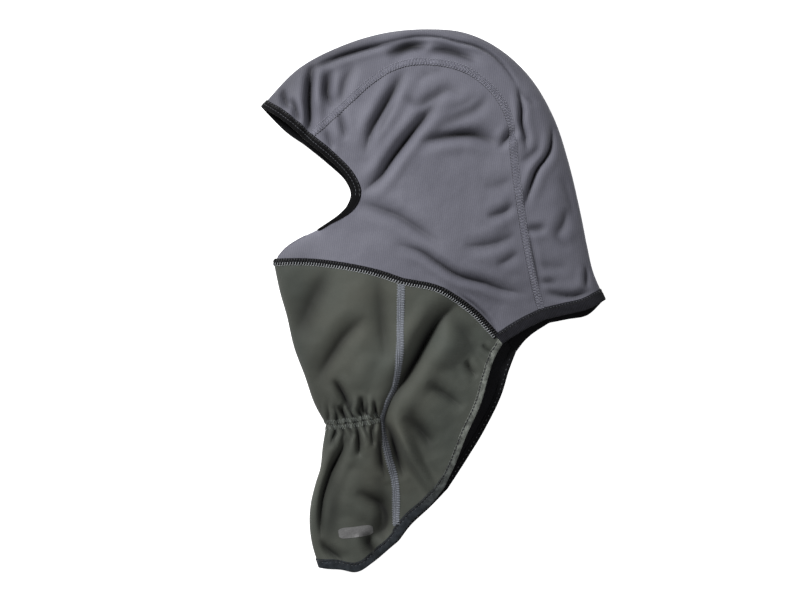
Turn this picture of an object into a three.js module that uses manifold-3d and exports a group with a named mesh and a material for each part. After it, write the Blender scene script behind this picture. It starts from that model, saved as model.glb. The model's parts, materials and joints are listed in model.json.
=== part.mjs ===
// A long-neck balaclava, laid flat on its right side. Millimetres, +Z up out of the left side,
// +Y towards the crown, -X towards the face. The cloth is two layers joined at folded outlines:
// the upper layer is the wearer's left side, the lower layer is the right side, on the table.
import * as THREE from 'three';
import Module from 'manifold-3d';
import { mergeVertices } from 'three/addons/utils/BufferGeometryUtils.js';

const wasm = await Module();
wasm.setup();

// Driving dimensions
const JERSEY = 1.0; // cloth thickness of the hood
const SOFTSHELL = 1.6; // cloth thickness of the neck and throat
const GAP = 0.42; // between pieces that touch
const LOWER_MIDDLE = 1.5; // middle of the lower layer above the table
const FOLD_MIDDLE = 7.5; // middle of the cloth where it folds over at the outline
const FOLD_RADIUS = 6;
const LOFT = 34; // height that the upper layer tends to, far from a fold
const SLIVER = 0.03; // edges shorter than this are dropped after a cut
const TINY = 1e-6;
const WELD = 1e-4; // points closer than this are one point
const CUT_CLEAR = 0.25; // clearance cut from a cloth edge round its binding
const CUT_BACK = 1.8; // cloth edge inside the outer edge of its binding
const BINDING = { depth: 7, half: 1.5, web: 1.1 }; // leg depth, half thickness, web thickness
const SHORT_LEG = 1.35; // leg depth where the face binding turns over the nose
const SHORT_CUT_BACK = 3.5; // there the cloth ends short of the legs
const SHORT_LEG_RANGE = [14, 42]; // its legs lengthen over this distance from there
const END_GAP = 0.31; // each of two bindings ends this far from where they meet
const SEAM = { half: 3, thick: 0.4, clear: 0.5 };
const LOWER_SEAM = { half: 3, thick: 0.3, clear: 0.3 }; // it lies between the cloth and the table
const NOSE_SEAM_START = 0.45; // bare length of the nose fold at the chin, in cells
const NOSE_SEAM_SHARE = 0.8; // share of the first cell beside the fold that it covers
const THREAD = { half: 0.4, thick: 0.4, clear: 0.3, inset: 4.4 };
const FACE_STITCH_START = 4; // stations from the nose where the legs are long enough to stitch
const ELASTIC = { half: 3, thick: 1.0, clear: 0.4 };
const PATCH = { x: -65, y: -190, long: 28, wide: 9, tilt: 0.12, thick: 0.3, clear: 0.35 };
const PATCH_CORNERS = { cut: 0.45, power: 8 }; // share cut from its width at the ends, and how fast
const PATCH_CELLS = [8, 3];
const END_CLEAR = 9.4; // a seam stops this far from a bound edge
const SLANT_CLEAR = 15.5; // the same where the edge runs across at a slant
const WAIST_DIP = 3; // how far the elastic pulls the throat down
const WAIST_REACH = 9;
const WAIST_SHARE = 0.3; // but never more than this share of its height

// Numbers of cells
const CHIN_CELLS = 9;
const NECK_CELLS = 11;
const CROWN_HALF_CELLS = 5;
const NOSE_CELLS = 4;
const FACE_CELLS = 9;
const THROAT_CELLS = 9;
const FLAP_CELLS = 11;
const MAP_CELLS = 24; // of the even grid that a patch is laid out on
const CROWDING = { fold: 2, nose: 1.5 }; // how strongly cells gather at the start of a line
const FOLD_CELLS = { crown: 40, nose: 6, throat: 14, flap: 12 }; // of the lines that heights follow
const RELAX_ROUNDS = 120;

// Outlines and seams, seen from above
const CROWN_FOLD = [[-144, 163], [-113, 195], [-77, 214], [-40, 225], [-4, 228], [26, 225], [54, 212],
  [80, 188], [100, 154], [112, 118], [122, 76], [128, 46], [133, 25], [143, 2]];
const NOSE_FOLD = [[-133, 34], [-124, 45], [-114, 52], [-96, 61]];
const THROAT_FOLD = [[-133, 34], [-128, 10], [-122, -11], [-116, -37], [-107, -61], [-99, -84],
  [-89, -102]];
const FLAP_FOLD = [[-89, -102], [-92, -120], [-94, -138], [-98, -151], [-102, -168], [-103, -184],
  [-101, -201], [-95, -221]];
const FACE_EDGE = {
  upper: [[-96, 61], [-78, 73], [-70, 82], [-67, 92], [-72, 103], [-83, 115], [-106, 134]],
  lower: [[-96, 61], [-81, 72], [-73, 80], [-69, 91], [-74, 103], [-89, 117], [-108, 132]],
};
const FOREHEAD_EDGE = {
  upper: [[-144, 163], [-124, 150], [-106, 134]],
  lower: [[-144, 163], [-124, 143], [-108, 132]],
};
const CROWN_SEAM = {
  upper: [[-106, 134], [-73, 164], [-51, 184], [-28, 197], [2, 199], [30, 191], [52, 172], [63, 149],
    [66, 117], [71, 77], [77, 43], [86, 5], [93, -14]],
  lower: [[-108, 132], [-73, 164], [-51, 184], [-28, 197], [2, 199], [30, 191], [52, 172], [64, 149],
    [68, 117], [73, 77], [79, 43], [88, 5], [97, -17]],
};
const NAPE_STRIP_EDGE = {
  upper: [[143, 2], [127, -6], [110, -10], [93, -14]],
  lower: [[143, 2], [129, -11], [113, -14], [97, -17]],
};
const NAPE_EDGE = {
  upper: [[57, -34], [66, -28], [78, -21], [93, -14]],
  lower: [[69, -41], [76, -32], [84, -25], [97, -17]],
};
const CHIN_SEAM = {
  upper: [[-133, 34], [-102, 34], [-71, 30], [-44, 24], [-27, 18]],
  lower: [[-133, 34], [-102, 34], [-71, 30], [-42, 24], [-24, 18]],
};
const JAW_SEAM = {
  upper: [[-27, 18], [5, 11], [31, -6], [44, -19], [57, -34]],
  lower: [[-24, 18], [10, 10], [39, -7], [55, -22], [69, -41]],
};
const NECK_SEAM_TOP = {
  upper: [[-27, 18], [-27.5, -17], [-28, -38], [-33, -70], [-39, -82], [-43, -94]],
  lower: [[-24, 18], [-24, -17], [-25, -38], [-29, -70], [-36, -82], [-40, -94]],
};
const NECK_SEAM_BOTTOM = {
  upper: [[-43, -94], [-43, -104], [-38, -127], [-32, -150], [-31, -182], [-30, -197]],
  lower: [[-40, -94], [-40, -104], [-36, -127], [-32, -150], [-31, -182], [-30, -200]],
};
const NECK_EDGE = {
  upper: [[57, -34], [50, -46], [45, -61], [38, -85], [27, -109], [17, -135], [8, -154]],
  lower: [[69, -41], [63, -56], [56, -79], [41, -109], [30, -127], [19, -144], [11, -156]],
};
const NECK_CORNER = {
  upper: [[-30, -197], [-19, -182], [-3, -168], [8, -154]],
  lower: [[-30, -200], [-19, -186], [-3, -171], [11, -156]],
};
const FLAP_EDGE = {
  upper: [[-95, -221], [-77, -222], [-64, -224], [-51, -216], [-30, -197]],
  lower: [[-95, -221], [-77, -223], [-64, -226], [-51, -218], [-30, -200]],
};

// Where the upper layer sinks towards an open edge: how much of its height stays, and its reach
const OPENINGS = [
  { line: FACE_EDGE.upper, keep: 0.72, reach: 40 },
  { line: NAPE_EDGE.upper, keep: 0.5, reach: 45 },
  { line: NAPE_STRIP_EDGE.upper, keep: 0.6, reach: 40 },
  { line: NECK_EDGE.upper, keep: 0.42, reach: 55 },
  { line: NECK_CORNER.upper, keep: 0.42, reach: 45 },
  { line: FLAP_EDGE.upper, keep: 0.45, reach: 40 },
];
const WAIST_LINE = [[-89, -102], [-43, -94]];

// Plane curves
function lerp(a, b, t) {
  return a + (b - a) * t;
}

function curve(points) {
  const corners = points.map(([x, y]) => new THREE.Vector3(x, y, 0));
  return new THREE.CatmullRomCurve3(corners, false, 'centripetal');
}

function stations(points, cells, power = 1) {
  const line = curve(points);
  const list = [];
  for (let k = 0; k <= cells; k += 1) {
    list.push(line.getPointAt((k / cells) ** power));
  }
  return list;
}

function joined(first, second) {
  return [...first, ...second.slice(1)];
}

function fractions(line) {
  const sums = [0];
  for (let k = 1; k < line.length; k += 1) {
    sums.push(sums[k - 1] + line[k].distanceTo(line[k - 1]));
  }
  return sums.map((sum) => sum / sums[sums.length - 1]);
}

// A grid between four station lists: west and east run south to north, south and north west to east.
// It starts as a blend of the four sides, and is relaxed until no cell folds over another.
function blended(south, east, north, west, u, v, i, j) {
  const last = south.length - 1;
  const top = west.length - 1;
  const point = new THREE.Vector3();
  point.addScaledVector(south[i], 1 - v);
  point.addScaledVector(north[i], v);
  point.addScaledVector(west[j], 1 - u);
  point.addScaledVector(east[j], u);
  point.addScaledVector(south[0], -(1 - u) * (1 - v));
  point.addScaledVector(south[last], -u * (1 - v));
  point.addScaledVector(west[top], -(1 - u) * v);
  point.addScaledVector(north[last], -u * v);
  return point;
}

function relax(grid) {
  const [width, length] = [grid.length - 1, grid[0].length - 1];
  for (let round = 0; round < RELAX_ROUNDS; round += 1) {
    for (let i = 1; i < width; i += 1) {
      for (let j = 1; j < length; j += 1) {
        const along = grid[i + 1][j].clone().sub(grid[i - 1][j]);
        const across = grid[i][j + 1].clone().sub(grid[i][j - 1]);
        const [a, b, c] = [across.lengthSq(), along.dot(across), along.lengthSq()];
        const point = new THREE.Vector3();
        point.addScaledVector(grid[i + 1][j], a).addScaledVector(grid[i - 1][j], a);
        point.addScaledVector(grid[i][j + 1], c).addScaledVector(grid[i][j - 1], c);
        point.addScaledVector(grid[i + 1][j + 1], -b / 2).addScaledVector(grid[i - 1][j - 1], -b / 2);
        point.addScaledVector(grid[i + 1][j - 1], b / 2).addScaledVector(grid[i - 1][j + 1], b / 2);
        grid[i][j] = point.divideScalar(2 * (a + c));
      }
    }
  }
}

function resampled(line, cells) {
  const along = fractions(line);
  const list = [];
  for (let k = 0; k <= cells; k += 1) {
    const share = k / cells;
    let m = 1;
    while (m < line.length - 1 && along[m] < share) m += 1;
    list.push(line[m - 1].clone().lerp(line[m], (share - along[m - 1]) / (along[m] - along[m - 1])));
  }
  return list;
}

function sampled(grid, u, v) {
  const [x, y] = [u * (grid.length - 1), v * (grid[0].length - 1)];
  const i = Math.min(Math.floor(x), grid.length - 2);
  const j = Math.min(Math.floor(y), grid[0].length - 2);
  const low = grid[i][j].clone().lerp(grid[i + 1][j], x - i);
  const high = grid[i][j + 1].clone().lerp(grid[i + 1][j + 1], x - i);
  return low.lerp(high, y - j);
}

function patch(south, east, north, west) {
  const even = [south, north].map((line) => resampled(line, MAP_CELLS));
  const sides = [west, east].map((line) => resampled(line, MAP_CELLS));
  const map = even[0].map((unusedStation, i) => sides[0].map((unusedRow, j) => (
    blended(even[0], sides[1], even[1], sides[0], i / MAP_CELLS, j / MAP_CELLS, i, j)
  )));
  relax(map);
  const [uSouth, uNorth, vWest, vEast] = [south, north, west, east].map(fractions);
  const [last, top] = [south.length - 1, west.length - 1];
  return south.map((unusedStation, i) => west.map((unusedRow, j) => {
    if (j === 0) return south[i].clone();
    if (j === top) return north[i].clone();
    if (i === 0) return west[j].clone();
    if (i === last) return east[j].clone();
    const across = (uSouth[i] + uNorth[i]) / 2;
    const v = lerp(vWest[j], vEast[j], across);
    return sampled(map, lerp(uSouth[i], uNorth[i], v), v);
  }));
}

// Heights of the two layers
const FOLD_LINES = [stations(CROWN_FOLD, FOLD_CELLS.crown), stations(NOSE_FOLD, FOLD_CELLS.nose),
  stations(THROAT_FOLD, FOLD_CELLS.throat), stations(FLAP_FOLD, FOLD_CELLS.flap)];

// A smooth distance to the folded outline: exact beside a long fold, larger past its ends
function foldDistance(x, y) {
  let pull = 0;
  for (const line of FOLD_LINES) {
    for (let k = 1; k < line.length; k += 1) {
      const [from, to] = [line[k - 1], line[k]];
      const size = from.distanceTo(to);
      const along = [(to.x - from.x) / size, (to.y - from.y) / size];
      const start = (from.x - x) * along[0] + (from.y - y) * along[1];
      const beside = Math.max(((x - from.x) * along[1] - (y - from.y) * along[0]) ** 2, TINY);
      const end = start + size;
      pull += (end / Math.sqrt(beside + end * end) - start / Math.sqrt(beside + start * start)) / beside;
    }
  }
  return Math.sqrt(2 / pull);
}

function lineDistance(points, x, y) {
  let nearest = Infinity;
  for (let k = 1; k < points.length; k += 1) {
    const [ax, ay] = points[k - 1];
    const [bx, by] = points[k];
    const [dx, dy] = [bx - ax, by - ay];
    const t = THREE.MathUtils.clamp(((x - ax) * dx + (y - ay) * dy) / (dx * dx + dy * dy), 0, 1);
    nearest = Math.min(nearest, Math.hypot(x - ax - t * dx, y - ay - t * dy));
  }
  return nearest;
}

function upperHeight(x, y) {
  const rise = Math.sqrt(2 * FOLD_RADIUS * foldDistance(x, y));
  let height = LOFT * (1 - Math.exp(-rise / LOFT));
  for (const opening of OPENINGS) {
    const near = Math.exp(-((lineDistance(opening.line, x, y) / opening.reach) ** 2));
    height *= 1 - (1 - opening.keep) * near;
  }
  const waist = Math.exp(-((lineDistance(WAIST_LINE, x, y) / WAIST_REACH) ** 2));
  height -= Math.min(WAIST_DIP, height * WAIST_SHARE) * waist;
  return FOLD_MIDDLE + height;
}

function lowerHeight(x, y) {
  const radius = FOLD_MIDDLE - LOWER_MIDDLE;
  const inside = Math.max(0, radius - foldDistance(x, y));
  return FOLD_MIDDLE - Math.sqrt(radius * radius - inside * inside);
}

function lifted(flat, height, isFold) {
  return flat.map((row, i) => row.map((point, j) => {
    const z = isFold(i, j) ? FOLD_MIDDLE : height(point.x, point.y);
    return new THREE.Vector3(point.x, point.y, z);
  }));
}

// Cloth sheets: a grid of middle points with its normals, all pointing out of the garment
function normalsOf(points) {
  const width = points.length - 1;
  const length = points[0].length - 1;
  return points.map((row, i) => row.map((point, j) => {
    const along = new THREE.Vector3().subVectors(points[Math.min(i + 1, width)][j],
      points[Math.max(i - 1, 0)][j]);
    const across = new THREE.Vector3().subVectors(points[i][Math.min(j + 1, length)],
      points[i][Math.max(j - 1, 0)]);
    return along.cross(across).normalize();
  }));
}

function cloth(points, thickness, outward, reference) {
  const normals = normalsOf(points);
  const [i, j] = reference;
  if (normals[i][j].z * outward < 0) {
    normals.forEach((row) => row.forEach((normal) => normal.negate()));
  }
  return { points, normals, half: thickness / 2 };
}

// Mesh building
function closedGeometry(vertices, triangles) {
  let volume = 0;
  for (const [a, b, c] of triangles) {
    volume += vertices[a].dot(new THREE.Vector3().crossVectors(vertices[b], vertices[c]));
  }
  const facing = volume < 0 ? triangles.map(([a, b, c]) => [a, c, b]) : triangles;
  const geometry = new THREE.BufferGeometry();
  const position = vertices.flatMap((vertex) => [vertex.x, vertex.y, vertex.z]);
  geometry.setAttribute('position', new THREE.Float32BufferAttribute(position, 3));
  geometry.setIndex(facing.flat());
  geometry.computeVertexNormals();
  return geometry;
}

// A closed sheet between two grids of the same size
function sheetGeometry(outer, inner) {
  const width = outer.length;
  const length = outer[0].length;
  const vertices = [...outer.flat(), ...inner.flat()];
  const count = width * length;
  const id = (i, j) => i * length + j;
  const triangles = [];
  const quad = (a, b, c, d) => triangles.push([a, b, c], [a, c, d]);
  for (let i = 0; i + 1 < width; i += 1) {
    for (let j = 0; j + 1 < length; j += 1) {
      const [a, b, c, d] = [id(i, j), id(i + 1, j), id(i + 1, j + 1), id(i, j + 1)];
      quad(a, b, c, d);
      quad(count + a, count + d, count + c, count + b);
    }
  }
  const rim = [];
  for (let i = 0; i + 1 < width; i += 1) rim.push(id(i, 0));
  for (let j = 0; j + 1 < length; j += 1) rim.push(id(width - 1, j));
  for (let i = width - 1; i > 0; i -= 1) rim.push(id(i, length - 1));
  for (let j = length - 1; j > 0; j -= 1) rim.push(id(0, j));
  rim.forEach((here, k) => {
    const next = rim[(k + 1) % rim.length];
    quad(here, count + here, count + next, next);
  });
  return closedGeometry(vertices, triangles);
}

// A solid swept through equal sections, either an open run with end caps or a closed loop
function sweptGeometry(sections, outline, isLoop) {
  const size = outline.length;
  const triangles = [];
  const runs = isLoop ? sections.length : sections.length - 1;
  for (let k = 0; k < runs; k += 1) {
    const here = k * size;
    const next = ((k + 1) % sections.length) * size;
    for (let s = 0; s < size; s += 1) {
      const t = (s + 1) % size;
      triangles.push([here + s, here + t, next + t], [here + s, next + t, next + s]);
    }
  }
  if (!isLoop) {
    const cap = THREE.ShapeUtils.triangulateShape(outline, []);
    const clockwise = THREE.ShapeUtils.isClockWise(outline);
    const far = (sections.length - 1) * size;
    for (const [a, b, c] of cap) {
      const [p, q, r] = clockwise ? [a, b, c] : [a, c, b];
      triangles.push([p, q, r], [far + p, far + r, far + q]);
    }
  }
  return closedGeometry(sections.flat(), triangles);
}

// Runs of stations along an edge or seam: each has a point, a normal and the sheets it borders.
// With a step to the next row in, the direction into the cloth follows the grid.
function borderRun(sheet, cells, stepIn) {
  return cells.map(([i, j]) => {
    const point = sheet.points[i][j].clone();
    const guide = stepIn ? sheet.points[i + stepIn[0]][j + stepIn[1]].clone().sub(point) : null;
    return { point, normal: sheet.normals[i][j].clone(), borders: [[sheet, i, j]], guide };
  });
}

function mergeStations(first, second) {
  const normal = first.normal.clone().add(second.normal).normalize();
  const borders = [...first.borders, ...second.borders];
  return { point: first.point, normal, borders, guide: first.guide || second.guide };
}

// Joins runs end to end; where two runs share a station it becomes one
function connect(runs) {
  const list = [...runs[0]];
  for (const run of runs.slice(1)) {
    list[list.length - 1] = mergeStations(list[list.length - 1], run[0]);
    list.push(...run.slice(1));
  }
  return list;
}

function closeLoop(run) {
  const list = run.slice(0, -1);
  list[0] = mergeStations(list[0], run[run.length - 1]);
  return list;
}

// Adds the direction along the run and the direction into the cloth beside it
function framed(run, isLoop, side, ends = []) {
  const count = run.length;
  return run.map((station, k) => {
    const before = run[isLoop ? (k + count - 1) % count : Math.max(k - 1, 0)].point;
    const after = run[isLoop ? (k + 1) % count : Math.min(k + 1, count - 1)].point;
    const along = new THREE.Vector3().subVectors(after, before).normalize();
    const inward = new THREE.Vector3().crossVectors(station.normal, along).normalize();
    inward.multiplyScalar(side);
    if (station.guide) inward.copy(station.guide).projectOnPlane(station.normal).normalize();
    if (k === 0 && ends[0]) inward.copy(ends[0]);
    if (k === count - 1 && ends[1]) inward.copy(ends[1]);
    return { ...station, along, inward };
  });
}

function trimmed(run, startLength, endLength) {
  const cut = (list, length) => {
    let left = length;
    let k = 0;
    while (k + 2 < list.length && list[k].point.distanceTo(list[k + 1].point) < left) {
      left -= list[k].point.distanceTo(list[k + 1].point);
      k += 1;
    }
    const share = left / list[k].point.distanceTo(list[k + 1].point);
    const point = list[k].point.clone().lerp(list[k + 1].point, share);
    const normal = list[k].normal.clone().lerp(list[k + 1].normal, share).normalize();
    return [{ point, normal, borders: [] }, ...list.slice(k + 1)];
  };
  const fromStart = startLength > 0 ? cut(run, startLength) : run;
  return endLength > 0 ? cut([...fromStart].reverse(), endLength).reverse() : fromStart;
}

function placed(station, inward, up) {
  return station.point.clone().addScaledVector(station.inward, inward)
    .addScaledVector(station.normal, up);
}

function cutBackEdges(run, amountOf) {
  run.forEach((station, k) => {
    for (const [sheet, i, j] of station.borders) {
      sheet.points[i][j].addScaledVector(station.inward, amountOf(k));
    }
  });
}

// Draws a sheet's edge back by half a gap, so that its neighbour across the seam stays clear
function openSeam(sheet, side) {
  const { points } = sheet;
  const width = points.length - 1;
  const length = points[0].length - 1;
  const pull = (i, j, i2, j2) => {
    const step = points[i2][j2].clone().sub(points[i][j]).normalize();
    points[i][j].addScaledVector(step, GAP / 2);
  };
  if (side === 'west') for (let j = 0; j <= length; j += 1) pull(0, j, 1, j);
  if (side === 'east') for (let j = 0; j <= length; j += 1) pull(width, j, width - 1, j);
  if (side === 'south') for (let i = 0; i <= width; i += 1) pull(i, 0, i, 1);
  if (side === 'north') for (let i = 0; i <= width; i += 1) pull(i, length, i, length - 1);
}

// The panels
function hoodSide(layer, height, outward) {
  const chinLine = stations(CHIN_SEAM[layer], CHIN_CELLS, CROWDING.fold);
  const south = joined(chinLine, stations(JAW_SEAM[layer], NECK_CELLS));
  const face = stations(FACE_EDGE[layer], FACE_CELLS, CROWDING.nose);
  const west = joined(stations(NOSE_FOLD, NOSE_CELLS), face);
  const north = stations(CROWN_SEAM[layer], CHIN_CELLS + NECK_CELLS);
  const east = stations(NAPE_EDGE[layer], NOSE_CELLS + FACE_CELLS);
  const flat = patch(south, east, north, west);
  const points = lifted(flat, height, (i, j) => i === 0 && j <= NOSE_CELLS);
  const sheet = cloth(points, JERSEY, outward, [CHIN_CELLS, NOSE_CELLS]);
  for (let j = 0; j <= NOSE_CELLS; j += 1) {
    sheet.normals[0][j].setZ(0).normalize();
  }
  return sheet;
}

// A panel that folds over the outline: columns run from the upper seam, over the fold, to the lower
function foldedPanel(halves, halfCells, thickness) {
  const sides = ['upper', 'lower'].map((layer) => {
    const { start, seam, end } = halves[layer];
    const startLine = stations(start, halfCells, CROWDING.fold);
    const endLine = stations(end, halfCells, CROWDING.fold);
    const flat = patch(halves.fold, endLine, seam, startLine);
    const height = layer === 'upper' ? upperHeight : lowerHeight;
    return lifted(flat, height, (i, j) => j === 0);
  });
  const points = sides[0].map((row, i) => [...row.slice(1).reverse(), ...sides[1][i]]);
  return cloth(points, thickness, 1, [Math.floor(points.length / 2), 0]);
}

function crownPanel() {
  const cells = CHIN_CELLS + NECK_CELLS;
  const half = (layer) => ({
    start: FOREHEAD_EDGE[layer], seam: stations(CROWN_SEAM[layer], cells), end: NAPE_STRIP_EDGE[layer],
  });
  const halves = { fold: stations(CROWN_FOLD, cells), upper: half('upper'), lower: half('lower') };
  return foldedPanel(halves, CROWN_HALF_CELLS, JERSEY);
}

function chinPanel() {
  const half = (layer) => ({
    start: CHIN_SEAM[layer],
    seam: joined(
      stations(NECK_SEAM_TOP[layer], THROAT_CELLS),
      stations(NECK_SEAM_BOTTOM[layer], FLAP_CELLS),
    ),
    end: FLAP_EDGE[layer],
  });
  const fold = joined(stations(THROAT_FOLD, THROAT_CELLS), stations(FLAP_FOLD, FLAP_CELLS));
  return foldedPanel({ fold, upper: half('upper'), lower: half('lower') }, CHIN_CELLS, SOFTSHELL);
}

function neckSide(layer, height, outward) {
  const topSeam = stations(JAW_SEAM[layer], NECK_CELLS);
  const bottom = stations(NECK_CORNER[layer], NECK_CELLS);
  const front = joined(stations(NECK_SEAM_TOP[layer], THROAT_CELLS),
    stations(NECK_SEAM_BOTTOM[layer], FLAP_CELLS));
  const back = stations(NECK_EDGE[layer], THROAT_CELLS + FLAP_CELLS);
  const flat = patch(topSeam, back, bottom, front);
  return cloth(lifted(flat, height, () => false), SOFTSHELL, outward, [CHIN_CELLS, THROAT_CELLS]);
}

const hoodLeft = hoodSide('upper', upperHeight, 1);
const hoodRight = hoodSide('lower', lowerHeight, -1);
const crown = crownPanel();
const chin = chinPanel();
const neckLeft = neckSide('upper', upperHeight, 1);
const neckRight = neckSide('lower', lowerHeight, -1);

// Cell lists along the borders of the panels
function range(from, to) {
  const step = from <= to ? 1 : -1;
  const list = [];
  for (let k = from; k !== to + step; k += step) list.push(k);
  return list;
}
const HOOD_I = CHIN_CELLS + NECK_CELLS;
const HOOD_J = NOSE_CELLS + FACE_CELLS;
const CROWN_J = 2 * CROWN_HALF_CELLS;
const CHIN_J = 2 * CHIN_CELLS;
const ROWS = THROAT_CELLS + FLAP_CELLS;

function faceRun() {
  const upper = borderRun(hoodLeft, range(NOSE_CELLS, HOOD_J).map((j) => [0, j]));
  const brow = borderRun(crown, range(0, CROWN_J).map((j) => [0, j]), [1, 0]);
  const lower = borderRun(hoodRight, range(HOOD_J, NOSE_CELLS).map((j) => [0, j]));
  const loop = closeLoop(connect([upper, brow, lower]));
  return framed(loop, true, -1);
}

function jawDirection(sheet) {
  return sheet.points[HOOD_I - 1][0].clone().sub(sheet.points[HOOD_I][0]).normalize();
}

function napeRun() {
  const upper = borderRun(hoodLeft, range(0, HOOD_J).map((j) => [HOOD_I, j]));
  const strip = borderRun(crown, range(0, CROWN_J).map((j) => [HOOD_I, j]), [-1, 0]);
  const lower = borderRun(hoodRight, range(HOOD_J, 0).map((j) => [HOOD_I, j]));
  const ends = [jawDirection(hoodLeft), jawDirection(hoodRight)];
  return framed(connect([upper, strip, lower]), false, 1, ends);
}

function hemRun() {
  const upper = borderRun(neckLeft, range(0, ROWS).map((j) => [NECK_CELLS, j]));
  const corner = borderRun(neckLeft, range(NECK_CELLS, 0).map((i) => [i, ROWS]));
  const flap = borderRun(chin, range(0, CHIN_J).map((j) => [ROWS, j]), [-1, 0]);
  const lowerCorner = borderRun(neckRight, range(0, NECK_CELLS).map((i) => [i, ROWS]));
  const lower = borderRun(neckRight, range(ROWS, 0).map((j) => [NECK_CELLS, j]));
  const run = connect([upper, corner, flap, lowerCorner, lower]);
  return framed(run, false, -1, [jawDirection(hoodLeft), jawDirection(hoodRight)]);
}

const faceEdge = faceRun();
const napeEdge = napeRun();
const hemEdge = hemRun();

// Seam runs, taken before the edges are drawn back
function sharedRun(first, second) {
  return first.map((station, k) => mergeStations(station, second[k]));
}
const cornerUp = [hoodLeft, 0];
const cornerDown = [hoodRight, CROWN_J];
function crownSeamRun([side, column]) {
  const run = sharedRun(borderRun(side, range(0, HOOD_I).map((i) => [i, HOOD_J])),
    borderRun(crown, range(0, HOOD_I).map((i) => [i, column])));
  return framed(trimmed(run, END_CLEAR, END_CLEAR), false, 1);
}

function chinSeamRun() {
  const jersey = connect([
    borderRun(hoodLeft, range(HOOD_I, 0).map((i) => [i, 0])),
    borderRun(hoodRight, range(0, HOOD_I).map((i) => [i, 0])),
  ]);
  const softshell = connect([
    borderRun(neckLeft, range(NECK_CELLS, 0).map((i) => [i, 0])),
    borderRun(chin, range(0, CHIN_J).map((j) => [0, j])),
    borderRun(neckRight, range(0, NECK_CELLS).map((i) => [i, 0])),
  ]);
  return framed(trimmed(sharedRun(jersey, softshell), END_CLEAR, END_CLEAR), false, 1);
}

function neckSeamRun(side, column) {
  const run = sharedRun(borderRun(side, range(0, ROWS).map((j) => [0, j])),
    borderRun(chin, range(0, ROWS).map((i) => [i, column])));
  return framed(trimmed(run, SEAM.half + 2 * GAP, SLANT_CLEAR), false, 1);
}

function elasticRun() {
  const run = borderRun(chin, range(1, CHIN_J - 1).map((j) => [THROAT_CELLS, j]));
  return framed(run, false, 1);
}

const crownSeams = [crownSeamRun(cornerUp), crownSeamRun(cornerDown)];
const chinSeam = chinSeamRun();
const neckSeams = [neckSeamRun(neckLeft, 0), neckSeamRun(neckRight, CHIN_J)];
const throatLine = elasticRun();

// Edges drawn back under their bindings and away from the seams
function faceShare(k) {
  const reach = faceEdge[k].point.distanceTo(faceEdge[0].point);
  return THREE.MathUtils.smoothstep(reach, ...SHORT_LEG_RANGE);
}
cutBackEdges(faceEdge, (k) => lerp(SHORT_CUT_BACK, CUT_BACK, faceShare(k)));
cutBackEdges(napeEdge, () => CUT_BACK);
cutBackEdges(hemEdge, () => CUT_BACK);
['west', 'south', 'north'].forEach((side) => {
  [hoodLeft, hoodRight].forEach((sheet) => openSeam(sheet, side));
});
['west', 'south'].forEach((side) => [neckLeft, neckRight].forEach((sheet) => openSeam(sheet, side)));
['south', 'north'].forEach((side) => openSeam(crown, side));
['west', 'south', 'north'].forEach((side) => openSeam(chin, side));

// Solids
function clothSolid(sheet) {
  const shift = (amount) => sheet.points.map((row, i) => row.map((point, j) => (
    point.clone().addScaledVector(sheet.normals[i][j], amount)
  )));
  return sheetGeometry(shift(sheet.half), shift(-sheet.half));
}

function rectangle(left, right, low, high) {
  return [[left, low], [right, low], [right, high], [left, high]];
}

function sweep(run, profileOf, isLoop = false) {
  const sections = run.map((station, k) => profileOf(k).map(([inward, up]) => placed(station, inward, up)));
  const outline = profileOf(0).map(([inward, up]) => new THREE.Vector2(inward, up));
  return sweptGeometry(sections, outline, isLoop);
}

// A binding is a channel round the raw edge: a web outside it and a leg on each face
function bindingProfile(depth, cavity) {
  const { half, web } = BINDING;
  return [[0, -half], [depth, -half], [depth, -cavity], [web, -cavity], [web, cavity], [depth, cavity],
    [depth, half], [0, half]];
}

function faceLegDepth(k) {
  return lerp(SHORT_LEG, BINDING.depth, faceShare(k));
}

function faceBinding() {
  return sweep(faceEdge, (k) => bindingProfile(faceLegDepth(k), JERSEY / 2 + GAP), true);
}

// The binding's own shape grown by a clearance, to be cut from the cloth inside it
function grownProfile(depth, thickness) {
  const cavity = thickness / 2 + GAP - CUT_CLEAR;
  const outer = BINDING.half + CUT_CLEAR;
  const web = BINDING.web + CUT_CLEAR;
  const leg = depth + CUT_CLEAR;
  return [[0, -outer], [leg, -outer], [leg, -cavity], [web, -cavity], [web, cavity], [leg, cavity],
    [leg, outer], [0, outer]];
}

function asSolid(geometry) {
  const bare = geometry.clone();
  bare.deleteAttribute('normal');
  const merged = mergeVertices(bare, WELD);
  const mesh = new wasm.Mesh({
    numProp: 3, vertProperties: merged.attributes.position.array, triVerts: merged.index.array,
  });
  return new wasm.Manifold(mesh);
}

// Cuts a tool from a piece and keeps its largest body
function cutAway(geometry, tool) {
  const bodies = asSolid(geometry).subtract(asSolid(tool)).decompose();
  const largest = bodies.reduce((best, body) => (body.volume() > best.volume() ? body : best));
  const mesh = largest.simplify(SLIVER).getMesh();
  const result = new THREE.BufferGeometry();
  const places = [];
  for (let k = 0; k < mesh.numVert; k += 1) {
    places.push(...mesh.vertProperties.slice(k * mesh.numProp, k * mesh.numProp + 3));
  }
  result.setAttribute('position', new THREE.Float32BufferAttribute(places, 3));
  result.setIndex([...mesh.triVerts]);
  result.computeVertexNormals();
  return result;
}

function openBinding(run, thickness) {
  const apart = run.map((station) => ({ ...station, point: station.point.clone() }));
  const last = apart.length - 1;
  const drawBack = (station, other) => {
    const step = other.point.clone().sub(station.point).normalize();
    station.point.addScaledVector(step, END_GAP);
  };
  drawBack(apart[0], apart[1]);
  drawBack(apart[last], apart[last - 1]);
  return sweep(apart, () => bindingProfile(BINDING.depth, thickness / 2 + GAP));
}

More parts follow.
